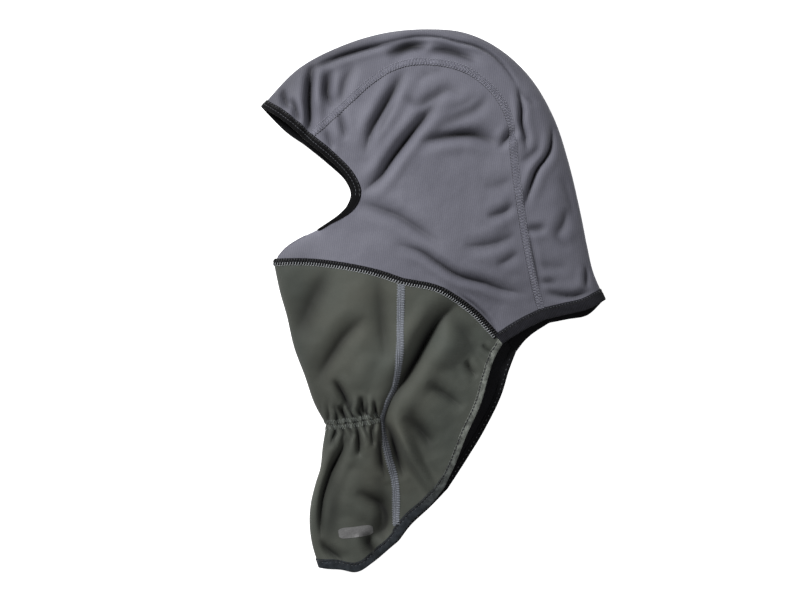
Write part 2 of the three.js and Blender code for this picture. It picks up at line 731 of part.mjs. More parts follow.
function seamTape(run, clothHalf, seam) {
  const low = clothHalf + seam.clear;
  return sweep(run, () => rectangle(-seam.half, seam.half, low, low + seam.thick));
}

// The seam over the nose bends round the fold, from the first column of one side to the other's
function noseSeam() {
  const rows = [NOSE_SEAM_START, ...range(1, NOSE_CELLS - 1)];
  const between = (grid, i, row) => {
    const j = Math.min(Math.floor(row), NOSE_CELLS - 1);
    return grid[i][j].clone().lerp(grid[i][j + 1], row - j);
  };
  const sections = rows.map((row) => {
    const fold = between(hoodLeft.points, 0, row).setZ(FOLD_MIDDLE);
    const out = between(hoodLeft.normals, 0, row).add(between(hoodRight.normals, 0, row)).setZ(0);
    const along = new THREE.Vector3(out.y, -out.x, 0).normalize();
    const ends = [hoodLeft, hoodRight].map((sheet) => ({
      point: fold.clone().lerp(between(sheet.points, 1, row), NOSE_SEAM_SHARE),
      normal: between(sheet.normals, 1, row).projectOnPlane(along).normalize(),
    }));
    const line = [ends[0], { point: fold, normal: out.normalize() }, ends[1]];
    const shift = (up) => line.map(({ point, normal }) => point.clone().addScaledVector(normal, up));
    const low = JERSEY / 2 + SEAM.clear;
    return [...shift(low), ...shift(low + SEAM.thick).reverse()];
  });
  const bent = [[0, 0], [2, 2], [4, 0], [4, 1], [2, 3], [0, 1]];
  const outline = bent.map(([x, y]) => new THREE.Vector2(x, y));
  return sweptGeometry(sections, outline, false);
}

function stitchLine(run) {
  const { half, thick, clear, inset } = THREAD;
  const low = BINDING.half + clear;
  return sweep(run, () => rectangle(inset - half, inset + half, low, low + thick));
}

function elasticBand() {
  const high = -SOFTSHELL / 2 - ELASTIC.clear;
  return sweep(throatLine, () => rectangle(-ELASTIC.half, ELASTIC.half, high - ELASTIC.thick, high));
}

function elasticStitching() {
  const low = SOFTSHELL / 2 + THREAD.clear;
  const upperHalf = throatLine.slice(0, CHIN_CELLS);
  return sweep(upperHalf, () => rectangle(-THREAD.half, THREAD.half, low, low + THREAD.thick));
}

function reflectivePatch() {
  const [cellsLong, cellsWide] = PATCH_CELLS;
  const low = SOFTSHELL / 2 + PATCH.clear;
  const grid = (up) => range(0, cellsLong).map((i) => range(0, cellsWide).map((j) => {
    const along = (2 * i) / cellsLong - 1;
    const across = ((2 * j) / cellsWide - 1) * (1 - PATCH_CORNERS.cut * along ** PATCH_CORNERS.power);
    const [a, b] = [(along * PATCH.long) / 2, (across * PATCH.wide) / 2];
    const x = PATCH.x + a * Math.cos(PATCH.tilt) - b * Math.sin(PATCH.tilt);
    const y = PATCH.y + a * Math.sin(PATCH.tilt) + b * Math.cos(PATCH.tilt);
    const z = upperHeight(x, y);
    const normal = new THREE.Vector3(z - upperHeight(x + 1, y), z - upperHeight(x, y + 1), 1).normalize();
    return new THREE.Vector3(x, y, z).addScaledVector(normal, up);
  }));
  return sheetGeometry(grid(low + PATCH.thick), grid(low));
}

// Materials
function material(color, roughness) {
  return new THREE.MeshStandardMaterial({ color, roughness, metalness: 0 });
}
const JERSEY_CLOTH = material(0x6e6e78, 0.85);
const SOFTSHELL_CLOTH = material(0x4b4e49, 0.8);
const BINDING_TAPE = material(0x17171a, 0.8);
const KNIT_BAND = material(0x2d2d33, 0.9);
const HEM_BAND = material(0x32342f, 0.85);
const ELASTIC_TAPE = material(0x1b1b1d, 0.9);
const GREY_THREAD = material(0x85898f, 0.7);
const DARK_THREAD = material(0x3f4047, 0.8);
const REFLECTIVE_FILM = material(0x6a6a6a, 0.45);

// The assembly
const group = new THREE.Group();

function add(name, geometry, surface) {
  const mesh = new THREE.Mesh(geometry, surface);
  mesh.name = name;
  group.add(mesh);
}

const upperHalfOf = (run, corner) => run.slice(0, run.indexOf(corner) + 1);
const faceCorner = faceEdge[FACE_CELLS + CROWN_HALF_CELLS];
const napeCorner = napeEdge[HOOD_J + CROWN_HALF_CELLS];
const flapCorner = hemEdge[ROWS + NECK_CELLS + CHIN_CELLS];

const hemTool = sweep(hemEdge, () => grownProfile(BINDING.depth, SOFTSHELL));

add('hood_side_left', clothSolid(hoodLeft), JERSEY_CLOTH);
add('hood_side_right', clothSolid(hoodRight), JERSEY_CLOTH);
add('crown_panel', clothSolid(crown), JERSEY_CLOTH);
add('chin_panel', clothSolid(chin), SOFTSHELL_CLOTH);
add('neck_side_left', cutAway(clothSolid(neckLeft), hemTool), SOFTSHELL_CLOTH);
add('neck_side_right', clothSolid(neckRight), SOFTSHELL_CLOTH);
add('face_binding', faceBinding(), BINDING_TAPE);
add('nape_binding', openBinding(napeEdge, JERSEY), KNIT_BAND);
add('neck_hem_binding', openBinding(hemEdge, SOFTSHELL), HEM_BAND);
add('throat_elastic', elasticBand(), ELASTIC_TAPE);
add('crown_seam_left', seamTape(crownSeams[0], JERSEY / 2, SEAM), JERSEY_CLOTH);
add('crown_seam_right', seamTape(crownSeams[1], JERSEY / 2, LOWER_SEAM), JERSEY_CLOTH);
add('chin_seam', seamTape(chinSeam, SOFTSHELL / 2, LOWER_SEAM), DARK_THREAD);
add('neck_seam_left', seamTape(neckSeams[0], SOFTSHELL / 2, SEAM), GREY_THREAD);
add('neck_seam_right', seamTape(neckSeams[1], SOFTSHELL / 2, LOWER_SEAM), GREY_THREAD);
add('nose_seam', noseSeam(), DARK_THREAD);
const faceStitches = upperHalfOf(faceEdge, faceCorner).slice(FACE_STITCH_START);
add('face_binding_stitching', stitchLine(faceStitches), DARK_THREAD);
add('nape_binding_stitching', stitchLine(upperHalfOf(napeEdge, napeCorner).slice(1)), DARK_THREAD);
add('neck_hem_stitching', stitchLine(upperHalfOf(hemEdge, flapCorner).slice(1)), DARK_THREAD);
add('throat_elastic_stitching', elasticStitching(), DARK_THREAD);
add('reflective_patch', reflectivePatch(), REFLECTIVE_FILM);

// The origin is on the table, under the middle of the whole object
const box = new THREE.Box3().setFromObject(group);
const middle = box.getCenter(new THREE.Vector3());
group.position.set(-middle.x, -middle.y, -box.min.z);

export default group;
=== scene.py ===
"""A long-neck balaclava, laid flat on its right side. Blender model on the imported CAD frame.

Sizes are in millimetres in the drawing's own plane, as in the part's source, until to_frame()
moves them into the row frame in metres.
"""
import json
import math

import bpy
import numpy as np
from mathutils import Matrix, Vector, noise
from mathutils.bvhtree import BVHTree

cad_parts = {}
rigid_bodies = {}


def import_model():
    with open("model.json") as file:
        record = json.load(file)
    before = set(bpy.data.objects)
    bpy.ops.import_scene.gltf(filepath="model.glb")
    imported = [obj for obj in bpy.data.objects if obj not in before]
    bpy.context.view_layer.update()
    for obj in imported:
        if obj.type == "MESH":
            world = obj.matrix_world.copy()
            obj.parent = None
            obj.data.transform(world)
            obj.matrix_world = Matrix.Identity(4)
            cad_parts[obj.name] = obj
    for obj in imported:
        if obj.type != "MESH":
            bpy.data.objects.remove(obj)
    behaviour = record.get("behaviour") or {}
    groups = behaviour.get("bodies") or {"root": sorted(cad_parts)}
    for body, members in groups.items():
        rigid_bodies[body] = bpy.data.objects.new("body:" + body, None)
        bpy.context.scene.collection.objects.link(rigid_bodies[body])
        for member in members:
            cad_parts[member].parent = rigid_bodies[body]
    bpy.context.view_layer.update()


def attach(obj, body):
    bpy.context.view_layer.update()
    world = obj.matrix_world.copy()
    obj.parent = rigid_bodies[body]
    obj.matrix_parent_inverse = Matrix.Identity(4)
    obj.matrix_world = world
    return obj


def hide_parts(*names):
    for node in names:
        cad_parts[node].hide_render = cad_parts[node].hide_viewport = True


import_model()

# Driving sizes
JERSEY = 1.0  # cloth thickness of the hood
SOFTSHELL = 1.6  # cloth thickness of the neck and throat
LOWER_MIDDLE = 1.5  # middle of the lower layer above the table
FOLD_MIDDLE = 7.5  # middle of the cloth where it folds over at the outline
FOLD_RADIUS = 6.0
LOFT = 34.0  # height that the upper layer tends to, far from a fold
WAIST_DIP = 3.0  # how far the elastic pulls the throat down
WAIST_DIP_SHARE = 0.3  # but at most this share of the cloth's height
WAIST_REACH = 9.0

# Numbers of cells
CHIN_CELLS = 98
NECK_CELLS = 132
NOSE_CELLS = 48
FACE_CELLS = 104
CROWN_HALF_CELLS = 36
THROAT_CELLS = 90
FLAP_CELLS = 108
MAP_CELLS = 32  # of the even grid that a panel is laid out on
RELAX_ROUNDS = 300
FOLD_CROWDING = 1.5  # how strongly cells gather at the start of a line that leaves a fold
FACE_CROWDING = 1.2

# Outlines and seams seen from above, in the part's drawing plane
CROWN_FOLD = [(-144, 163), (-113, 195), (-77, 214), (-40, 225), (-4, 228), (26, 225), (54, 212),
              (80, 188), (100, 154), (112, 118), (122, 76), (128, 46), (133, 25), (143, 2)]
NOSE_FOLD = [(-133, 34), (-124, 45), (-114, 52), (-96, 61)]
THROAT_FOLD = [(-133, 34), (-128, 10), (-122, -11), (-116, -37), (-107, -61), (-99, -84), (-89, -102)]
FLAP_FOLD = [(-89, -102), (-92, -120), (-94, -138), (-98, -151), (-102, -168), (-103, -184),
             (-101, -201), (-95, -221)]
FACE_EDGE = {
    "upper": [(-96, 61), (-78, 73), (-70, 82), (-67, 92), (-72, 103), (-83, 115), (-106, 134)],
    "lower": [(-96, 61), (-81, 72), (-73, 80), (-69, 91), (-74, 103), (-89, 117), (-108, 132)],
}
FOREHEAD_EDGE = {
    "upper": [(-144, 163), (-124, 150), (-106, 134)],
    "lower": [(-144, 163), (-124, 143), (-108, 132)],
}
CROWN_SEAM = {
    "upper": [(-106, 134), (-73, 164), (-51, 184), (-28, 197), (2, 199), (30, 191), (52, 172),
              (63, 149), (66, 117), (71, 77), (77, 43), (86, 5), (93, -14)],
    "lower": [(-108, 132), (-73, 164), (-51, 184), (-28, 197), (2, 199), (30, 191), (52, 172),
              (64, 149), (68, 117), (73, 77), (79, 43), (88, 5), (97, -17)],
}
NAPE_STRIP_EDGE = {
    "upper": [(143, 2), (127, -6), (110, -10), (93, -14)],
    "lower": [(143, 2), (129, -11), (113, -14), (97, -17)],
}
NAPE_EDGE = {
    "upper": [(57, -34), (66, -28), (78, -21), (93, -14)],
    "lower": [(69, -41), (76, -32), (84, -25), (97, -17)],
}
CHIN_SEAM = {
    "upper": [(-133, 34), (-102, 34), (-71, 30), (-44, 24), (-27, 18)],
    "lower": [(-133, 34), (-102, 34), (-71, 30), (-42, 24), (-24, 18)],
}
JAW_SEAM = {
    "upper": [(-27, 18), (5, 11), (31, -6), (44, -19), (57, -34)],
    "lower": [(-24, 18), (10, 10), (39, -7), (55, -22), (69, -41)],
}
NECK_SEAM_TOP = {
    "upper": [(-27, 18), (-27.5, -17), (-28, -38), (-33, -70), (-39, -82), (-43, -94)],
    "lower": [(-24, 18), (-24, -17), (-25, -38), (-29, -70), (-36, -82), (-40, -94)],
}
NECK_SEAM_BOTTOM = {
    "upper": [(-43, -94), (-43, -104), (-38, -127), (-32, -150), (-31, -182), (-30, -197)],
    "lower": [(-40, -94), (-40, -104), (-36, -127), (-32, -150), (-31, -182), (-30, -200)],
}
NECK_EDGE = {
    "upper": [(57, -34), (50, -46), (45, -61), (38, -85), (27, -109), (17, -135), (8, -154)],
    "lower": [(69, -41), (63, -56), (56, -79), (41, -109), (30, -127), (19, -144), (11, -156)],
}
NECK_CORNER = {
    "upper": [(-30, -197), (-19, -182), (-3, -168), (8, -154)],
    "lower": [(-30, -200), (-19, -186), (-3, -171), (11, -156)],
}
FLAP_EDGE = {
    "upper": [(-95, -221), (-77, -222), (-64, -224), (-51, -216), (-30, -197)],
    "lower": [(-95, -221), (-77, -223), (-64, -226), (-51, -218), (-30, -200)],
}
WAIST_LINE = [(-89, -102), (-43, -94)]

# Where the upper layer sinks towards an open edge: share of its height that stays, and its reach
OPENINGS = [
    (FACE_EDGE["upper"], 0.72, 40),
    (NAPE_EDGE["upper"], 0.5, 45),
    (NAPE_STRIP_EDGE["upper"], 0.6, 40),
    (NECK_EDGE["upper"], 0.42, 55),
    (NECK_CORNER["upper"], 0.42, 45),
    (FLAP_EDGE["upper"], 0.45, 40),
]

# A fold's cross-section, as shares of its width
BLUNT = 0.3  # of its rounded bottom
WALL = 0.72  # how slowly its walls rise
WALL_END = 2.6
SHOULDER_PLACE = 2.1
SHOULDER_WIDTH = 1.1
LEAN_PLACE = 1.1  # where the side that leans over is moved the most
LEAN_WIDTH = 1.3
REACH = 4  # past this a fold moves nothing

FOLD_GAIN = 1.25
SHOULDER_HEIGHT = 0.3  # as a share of the fold's depth
PATH_SAMPLES = 12  # steps from one given point of a path to the next
PATH_SLACK = 3  # how far past a path's end a place still counts as beside it
DARK_DEPTH = 6.8  # a fold this deep shuts out the light at its bottom
LOWEST_FOLD = 6.4  # a fold's bottom stays this high, clear of the layer below
SOFT_STOP = 0.5
EASE = 5.0  # scale of the distance from the outline over which creases reach full depth
LOWER_EASE = 14
FINE_PLEATS = (3.4, 5.0, 1.0)  # pitch, reach and height
WIDE_PLEATS = (6.6, 12, 2.6)
PLEAT_SHADE = 0.85
# Slow waves in the cloth: height, size and seed
UPPER_WAVES = [(1.1, 34, 1), (0.35, 11, 2)]
LOWER_WAVES = (2.4, 30, 3)
# Lines where the cloth turns away from the light: how much darker it is there, and its reach
RIMS = [
    (CROWN_FOLD, 0.3, 11),
    (CROWN_FOLD[:3], 0.34, 26),
    (THROAT_FOLD, 0.3, 30),
    (NAPE_STRIP_EDGE["upper"], 0.16, 34),
]
FOLD_SHADE_SHARE = 0.74  # of a fold's width that lies in the dark
NORMAL_ROUNDS = 8  # of evening out the directions that the cloth's thickness is laid in
SLIDE_REACH = 4  # an edge drawn in takes the cloth behind it along, this many times as far in

# Folds of the upper layer: a path, how deep, how wide, and how far its left side leans over it
# A negative depth is a ridge. Paths run so that the overhanging side is on their left.
FOLDS = [
    # forehead and crown strip
    ([(-106, 192), (-83, 203), (-65, 209), (-50, 213), (-24, 219)], 5.4, 3.2, 0.8),
    ([(-44, 214), (-34, 217), (-12, 221.5), (5, 220.5), (20, 216.5), (35, 213), (47, 207), (57, 198),
      (63, 190), (68, 181), (71, 172)], 3.4, 1.7, 0.6),
    ([(69, 181), (71.5, 170), (73, 159), (73, 149), (76, 136), (76.5, 122)], 5.0, 2.6, 1.2),
    ([(70, 178), (76, 171), (84, 163)], 1.6, 3.2, 0.0),
    ([(98, 152), (98.5, 138), (97, 127), (93, 119), (86, 110), (81, 98), (77, 87), (74, 76)],
     6.0, 2.8, 2.2),
    ([(91, 129), (80, 121.5), (70, 115)], 2.4, 4.0, 0.0),
    ([(-101, 204), (-102, 188), (-103, 168), (-103, 148), (-106, 132)], 8.5, 3.6, 0.6),
    ([(-85, 194), (-88, 181), (-88, 171), (-82, 159)], 5.6, 4.0, 0.0),
    ([(-64, 198), (-72, 186), (-77, 170), (-81, 162)], 2.6, 4.4, 0.0),
    ([(-127, 180), (-124, 170), (-120, 158)], 4.8, 3.0, 0.0),
    ([(-118, 170), (-114, 158), (-112, 146)], 5.0, 2.6, 0.0),
    ([(-40, 203), (-29, 209), (-18, 213), (-2, 213)], 6.6, 6.2, 0.0),
    ([(-8, 206), (5, 209), (18, 207), (38, 199)], 5.2, 4.4, 0.0),
    # side of the hood
    ([(-22, 195), (-30, 180), (-41, 161), (-51, 143), (-58, 120)], 5.6, 4.0, 0.8),
    ([(6, 170), (-4, 157), (-18, 140), (-34, 119), (-46, 102), (-62, 89)], 6.4, 4.2, 0.8),
    ([(-79, 158), (-75, 147), (-72, 134)], 3.2, 3.0, 0.0),
    ([(-90, 143), (-86, 134), (-83, 126)], 2.6, 2.8, 0.0),
    ([(-26, 172), (-14, 164), (0, 170), (12, 176), (26, 171)], 3.2, 3.6, 0.0),
    ([(-16, 182), (-4, 190), (10, 193)], 1.8, 3.0, 0.0),
    ([(8, 160), (24, 165), (38, 174)], 1.6, 2.6, 0.0),
    ([(-30, 168), (-40, 152), (-47, 136)], 1.6, 3.6, 0.0),
    ([(-2, 145), (20, 154), (36, 161), (47, 172)], 3.0, 4.6, 0.6),
    ([(57, 129), (47, 135), (31, 139.5), (10, 138), (-14, 131)], 6.4, 5.0, -1.6),
    ([(53, 127), (58, 133), (68, 146)], 3.8, 3.2, 0.0),
    ([(-66, 84), (-44, 77), (-29, 71), (-12, 60), (8, 46)], 3.2, 5.2, 0.0),
    ([(-34, 49), (-11, 42), (5, 32), (20, 23), (42, 17), (58, 11), (80, 7)], 4.6, 3.6, 0.8),
    ([(22, 46), (47, 48), (63, 54), (70, 59)], 2.6, 4.8, 0.0),
    ([(42, 70), (58, 75), (67, 82)], 3.0, 3.6, 0.0),
    ([(50, 30), (60, 35), (71, 42)], 1.8, 4.0, 0.0),
    ([(40, 95), (54, 97), (66, 104)], 1.4, 5.0, 0.0),
    # back of the crown strip
    ([(76, 62.5), (84, 61), (94, 61.5)], 3.6, 3.0, 0.0),
    ([(110, 80), (107, 66), (99, 52)], 2.8, 4.2, 0.0),
    ([(77, 62), (82, 43), (85, 29), (90, 8)], 2.2, 1.9, 0.5),
    ([(88, 18), (95, 17.5), (103, 16)], 2.4, 2.6, 0.0),
    ([(98, 56), (106, 50), (114, 44)], 1.4, 3.4, 0.0),
    ([(84, 34), (98, 30), (114, 31)], 1.4, 4.2, 0.0),
    ([(93, 11), (103, 7), (116, 6), (134, 11)], 4.0, 3.2, 0.8),
    ([(127, 32), (127.5, 22), (127, 11)], 4.0, 2.6, 0.6),
    ([(104, 110), (112, 88), (118, 60)], 1.8, 6.0, 0.0),
    # jaw
    ([(18, 9), (36, -4), (47, -15), (56, -28)], 1.7, 1.6, 0.0),
    # throat
    ([(-84, 32), (-95, 12), (-104, -5), (-113, -32)], 4.0, 12.0, 0.0),
    ([(-54, -9), (-72, -26), (-83, -41), (-92, -56), (-98, -68)], 4.2, 6.6, 0.0),
    ([(-84, -63), (-77, -72), (-72, -82), (-69, -93)], 6.5, 3.8, 0.8),
    ([(-46, 28), (-44, 0), (-42, -26), (-38, -52)], 3.2, 8.0, 0.0),
    ([(-60, -76), (-59, -86), (-57, -97)], 5.4, 2.8, 0.0),
    ([(-80, -84), (-76, -92), (-74, -99)], 4.6, 2.6, 0.0),
    ([(-50, -80), (-49, -88), (-48, -96)], 4.0, 2.2, 0.0),
    ([(-52, -40), (-58, -56), (-62, -74)], -2.8, 9.0, 0.0),
    # side of the neck
    ([(24, 2), (5, -13), (-4, -27), (-14, -46), (-23, -61), (-33, -76), (-41, -92)], 9.5, 7.0, 1.5),
    ([(24, -24), (12, -42), (2, -56)], -3.6, 10.0, 0.0),
    ([(26, -47), (30, -55), (36, -63)], 3.2, 3.0, 0.0),
    ([(-8, -66), (6, -74), (26, -88)], 3.6, 5.6, 0.0),
    ([(40, -34), (44, -39), (50, -43)], 2.2, 2.2, 0.0),
    ([(-26, -92), (-14, -104), (2, -118)], 3.0, 6.5, 0.0),
    ([(-33, -96), (-18, -128), (2, -162)], -4.6, 4.0, 0.0),
    ([(-22, -84), (-10, -106), (2, -130)], 3.0, 8.0, 0.0),
    ([(8, -4), (24, -22), (40, -52)], 1.8, 7.0, 0.0),
    ([(-44, -94), (-36, -108), (-30, -129), (-24, -148)], 7.0, 5.0, 0.0),
    ([(-30, -68), (-38, -84), (-42, -98), (-40, -114), (-36, -132), (-32, -152)], 4.4, 4.6, 0.0),
    # flap below the gathers
    ([(-70, -104), (-77, -124), (-86, -142), (-92, -161), (-94, -178), (-94, -202)], 8.5, 4.2, 1.2),
    ([(-74, -116), (-82, -146), (-84, -172), (-86, -196), (-80, -218)], 3.0, 10.0, 0.0),
    ([(-47, -142), (-41, -162), (-45, -186), (-56, -206)], 2.6, 10.0, 0.0),
    ([(-95, -196), (-90, -205), (-80, -212), (-74, -216)], 4.6, 4.0, 0.0),
    ([(-64.5, -104), (-62, -114), (-62.5, -128)], 5.6, 2.8, 0.0),
    ([(-53, -100), (-52, -108), (-50, -120)], 4.6, 2.4, 0.0),
    ([(-80, -104), (-84, -112), (-86, -122)], 3.4, 2.6, 0.0),
    ([(-47, -104), (-45, -118), (-43, -134), (-38, -148)], 5.6, 3.8, 0.0),
    ([(-66, -155), (-55, -161), (-45, -168), (-40, -178), (-43, -190), (-52, -198)], 5.4, 5.4, 0.0),
    ([(-56, -190), (-54, -201), (-47, -214)], 6.0, 4.6, 0.0),
    ([(-66, -136), (-72, -160), (-72, -178)], -2.4, 8.0, 0.0),
]


# Plane curves
def smooth_line(points, samples=40):
    """Points along a centripetal curve through the given ones."""
    given = np.array(points, float)
    full = np.vstack([2 * given[0] - given[1], given, 2 * given[-1] - given[-2]])
    pieces = []
    share = np.linspace(0, 1, samples, endpoint=False)[:, None]
    for a, b, c, d in zip(full[:-3], full[1:-2], full[2:-1], full[3:]):
        first, middle, last = [math.sqrt(math.dist(p, q)) for p, q in ((a, b), (b, c), (c, d))]
        start = ((b - a) / first - (c - a) / (first + middle) + (c - b) / middle) * middle
        end = ((c - b) / middle - (d - b) / (middle + last) + (d - c) / last) * middle
        pieces.append(b + start * share + (3 * (c - b) - 2 * start - end) * share ** 2
                      + (2 * (b - c) + start + end) * share ** 3)
    return np.vstack(pieces + [given[-1:]])


def lengths(line):
    """Distance along a line at each of its points."""
    steps = np.linalg.norm(np.diff(line, axis=0), axis=1)
    return np.concatenate([[0.0], np.cumsum(steps)])


def at_shares(line, shares):
    """Points at the given shares of a line's length."""
    along = lengths(line)
    along = along / along[-1]
    return np.stack([np.interp(shares, along, line[:, k]) for k in range(line.shape[1])], axis=-1)


def stations(points, cells, power=1.0):
    return at_shares(smooth_line(points), (np.arange(cells + 1) / cells) ** power)


def joined(first, second):
    return np.vstack([first, second[1:]])


def unit(vectors):
    return vectors / np.maximum(np.linalg.norm(vectors, axis=-1, keepdims=True), 1e-12)


# Panels laid out flat between four lines of stations
def blend_of_sides(south, east, north, west, u, v):
    """u and v are the shares across and along, one for each grid point."""
    u, v = u[..., None], v[..., None]
    sides = (1 - v) * south[:, None] + v * north[:, None] + (1 - u) * west[None] + u * east[None]
    corners = ((1 - u) * (1 - v) * south[0] + u * (1 - v) * south[-1]
               + (1 - u) * v * north[0] + u * v * north[-1])
    return sides - corners


def relax(grid):
    """Evens a grid out until no cell folds over another."""
    for _ in range(RELAX_ROUNDS):
        along = grid[2:, 1:-1] - grid[:-2, 1:-1]
        across = grid[1:-1, 2:] - grid[1:-1, :-2]
        a = (across ** 2).sum(-1, keepdims=True)
        b = (along * across).sum(-1, keepdims=True)
        c = (along ** 2).sum(-1, keepdims=True)
        even = (a * (grid[2:, 1:-1] + grid[:-2, 1:-1]) + c * (grid[1:-1, 2:] + grid[1:-1, :-2])
                - b / 2 * (grid[2:, 2:] + grid[:-2, :-2]) + b / 2 * (grid[2:, :-2] + grid[:-2, 2:]))
        grid[1:-1, 1:-1] = even / (2 * (a + c))
    return grid


def sampled(grid, u, v):
    x, y = u * (grid.shape[0] - 1), v * (grid.shape[1] - 1)
    i = np.clip(x.astype(int), 0, grid.shape[0] - 2)
    j = np.clip(y.astype(int), 0, grid.shape[1] - 2)
    fx, fy = (x - i)[..., None], (y - j)[..., None]
    low = grid[i, j] * (1 - fx) + grid[i + 1, j] * fx
    high = grid[i, j + 1] * (1 - fx) + grid[i + 1, j + 1] * fx
    return low * (1 - fy) + high * fy


def panel(south, east, north, west):
    """A flat grid whose sides are exactly the four lines; west and east run south to north."""
    even = np.linspace(0, 1, MAP_CELLS + 1)
    sides = [at_shares(line, even) for line in (south, east, north, west)]
    across, along = np.meshgrid(even, even, indexing="ij")
    guide = relax(blend_of_sides(*sides, across, along))
    shares = [lengths(line) / lengths(line)[-1] for line in (south, east, north, west)]
    middle = ((shares[0] + shares[2]) / 2)[:, None]
    v = (1 - middle) * shares[3][None] + middle * shares[1][None]
    u = (1 - v) * shares[0][:, None] + v * shares[2][:, None]
    grid = sampled(guide, u, v)
    missing = [south - grid[:, 0], east - grid[-1], north - grid[:, -1], west - grid[0]]
    return grid + blend_of_sides(*missing, u, v)


# Heights of the two layers
FOLD_LINES = [stations(CROWN_FOLD, CHIN_CELLS + NECK_CELLS), stations(NOSE_FOLD, NOSE_CELLS),
              stations(THROAT_FOLD, THROAT_CELLS), stations(FLAP_FOLD, FLAP_CELLS)]


def fold_distance(place):
    """A smooth distance to the folded outline: exact beside a long fold, larger past its ends."""
    pull = np.zeros(place.shape[:-1])
    for line in FOLD_LINES:
        for start, end in zip(line[:-1], line[1:]):
            size = math.dist(start, end)
            way = (end - start) / size
            gap = start - place
            near = gap @ way
            beside = np.maximum((gap[..., 1] * way[0] - gap[..., 0] * way[1]) ** 2, 1e-6)
            far = near + size
            pull += (far / np.sqrt(beside + far ** 2) - near / np.sqrt(beside + near ** 2)) / beside
    return np.sqrt(2 / pull)


def line_distance(points, place):
    nearest = np.full(place.shape[:-1], np.inf)
    corners = np.array(points, float)
    for start, end in zip(corners[:-1], corners[1:]):
        way = end - start
        share = np.clip(((place - start) @ way) / (way @ way), 0, 1)
        nearest = np.minimum(nearest, np.linalg.norm(place - start - share[..., None] * way, axis=-1))
    return nearest


def bell(distance, width):
    return np.exp(-(distance / width) ** 2)


def upper_height(place):
    rise = np.sqrt(2 * FOLD_RADIUS * fold_distance(place))
    height = LOFT * (1 - np.exp(-rise / LOFT))
    for line, keep, reach in OPENINGS:
        height = height * (1 - (1 - keep) * bell(line_distance(line, place), reach))
    dip = np.minimum(WAIST_DIP, height * WAIST_DIP_SHARE)
    return FOLD_MIDDLE + height - dip * bell(line_distance(WAIST_LINE, place), WAIST_REACH)


def lower_height(place):
    radius = FOLD_MIDDLE - LOWER_MIDDLE
    inside = np.maximum(0, radius - fold_distance(place))
    return FOLD_MIDDLE - np.sqrt(radius ** 2 - inside ** 2)


HEIGHTS = {"upper": upper_height, "lower": lower_height}


def lifted(flat, layer):
    return np.concatenate([flat, HEIGHTS[layer](flat)[..., None]], axis=-1)


def hood_side(layer):
    chin = stations(CHIN_SEAM[layer], CHIN_CELLS, FOLD_CROWDING)
    south = joined(chin, stations(JAW_SEAM[layer], NECK_CELLS))
    face = stations(FACE_EDGE[layer], FACE_CELLS, FACE_CROWDING)
    west = joined(stations(NOSE_FOLD, NOSE_CELLS), face)
    north = stations(CROWN_SEAM[layer], CHIN_CELLS + NECK_CELLS)
    east = stations(NAPE_EDGE[layer], NOSE_CELLS + FACE_CELLS)
    grid = lifted(panel(south, east, north, west), layer)
    grid[0, :NOSE_CELLS + 1, 2] = FOLD_MIDDLE
    return grid


def over_the_fold(halves):
    """Columns run from the upper seam, over the fold, to the lower seam."""
    upper, lower = [lifted(panel(*sides), layer) for layer, sides in halves.items()]
    lower[:, 0, 2] = FOLD_MIDDLE
    return np.concatenate([upper[:, :0:-1], lower], axis=1)


def crown_panel():
    cells = CHIN_CELLS + NECK_CELLS
    fold = stations(CROWN_FOLD, cells)
    return over_the_fold({layer: (
        fold, stations(NAPE_STRIP_EDGE[layer], CROWN_HALF_CELLS, FOLD_CROWDING),
        stations(CROWN_SEAM[layer], cells),
        stations(FOREHEAD_EDGE[layer], CROWN_HALF_CELLS, FOLD_CROWDING),
    ) for layer in HEIGHTS})


def neck_seam_line(layer):
    return joined(stations(NECK_SEAM_TOP[layer], THROAT_CELLS),
                  stations(NECK_SEAM_BOTTOM[layer], FLAP_CELLS))


def chin_panel():
    fold = joined(stations(THROAT_FOLD, THROAT_CELLS), stations(FLAP_FOLD, FLAP_CELLS))
    return over_the_fold({layer: (
        fold, stations(FLAP_EDGE[layer], CHIN_CELLS, FOLD_CROWDING),
        neck_seam_line(layer), stations(CHIN_SEAM[layer], CHIN_CELLS, FOLD_CROWDING),
    ) for layer in HEIGHTS})


def neck_side(layer):
    south = stations(JAW_SEAM[layer], NECK_CELLS)
    east = stations(NECK_EDGE[layer], THROAT_CELLS + FLAP_CELLS)
    north = stations(NECK_CORNER[layer], NECK_CELLS)
    return lifted(panel(south, east, north, neck_seam_line(layer)), layer)


# The garment as one welded mesh
SAMPLE_COLUMNS = 8  # of a panel's cells, which tell the way that it faces


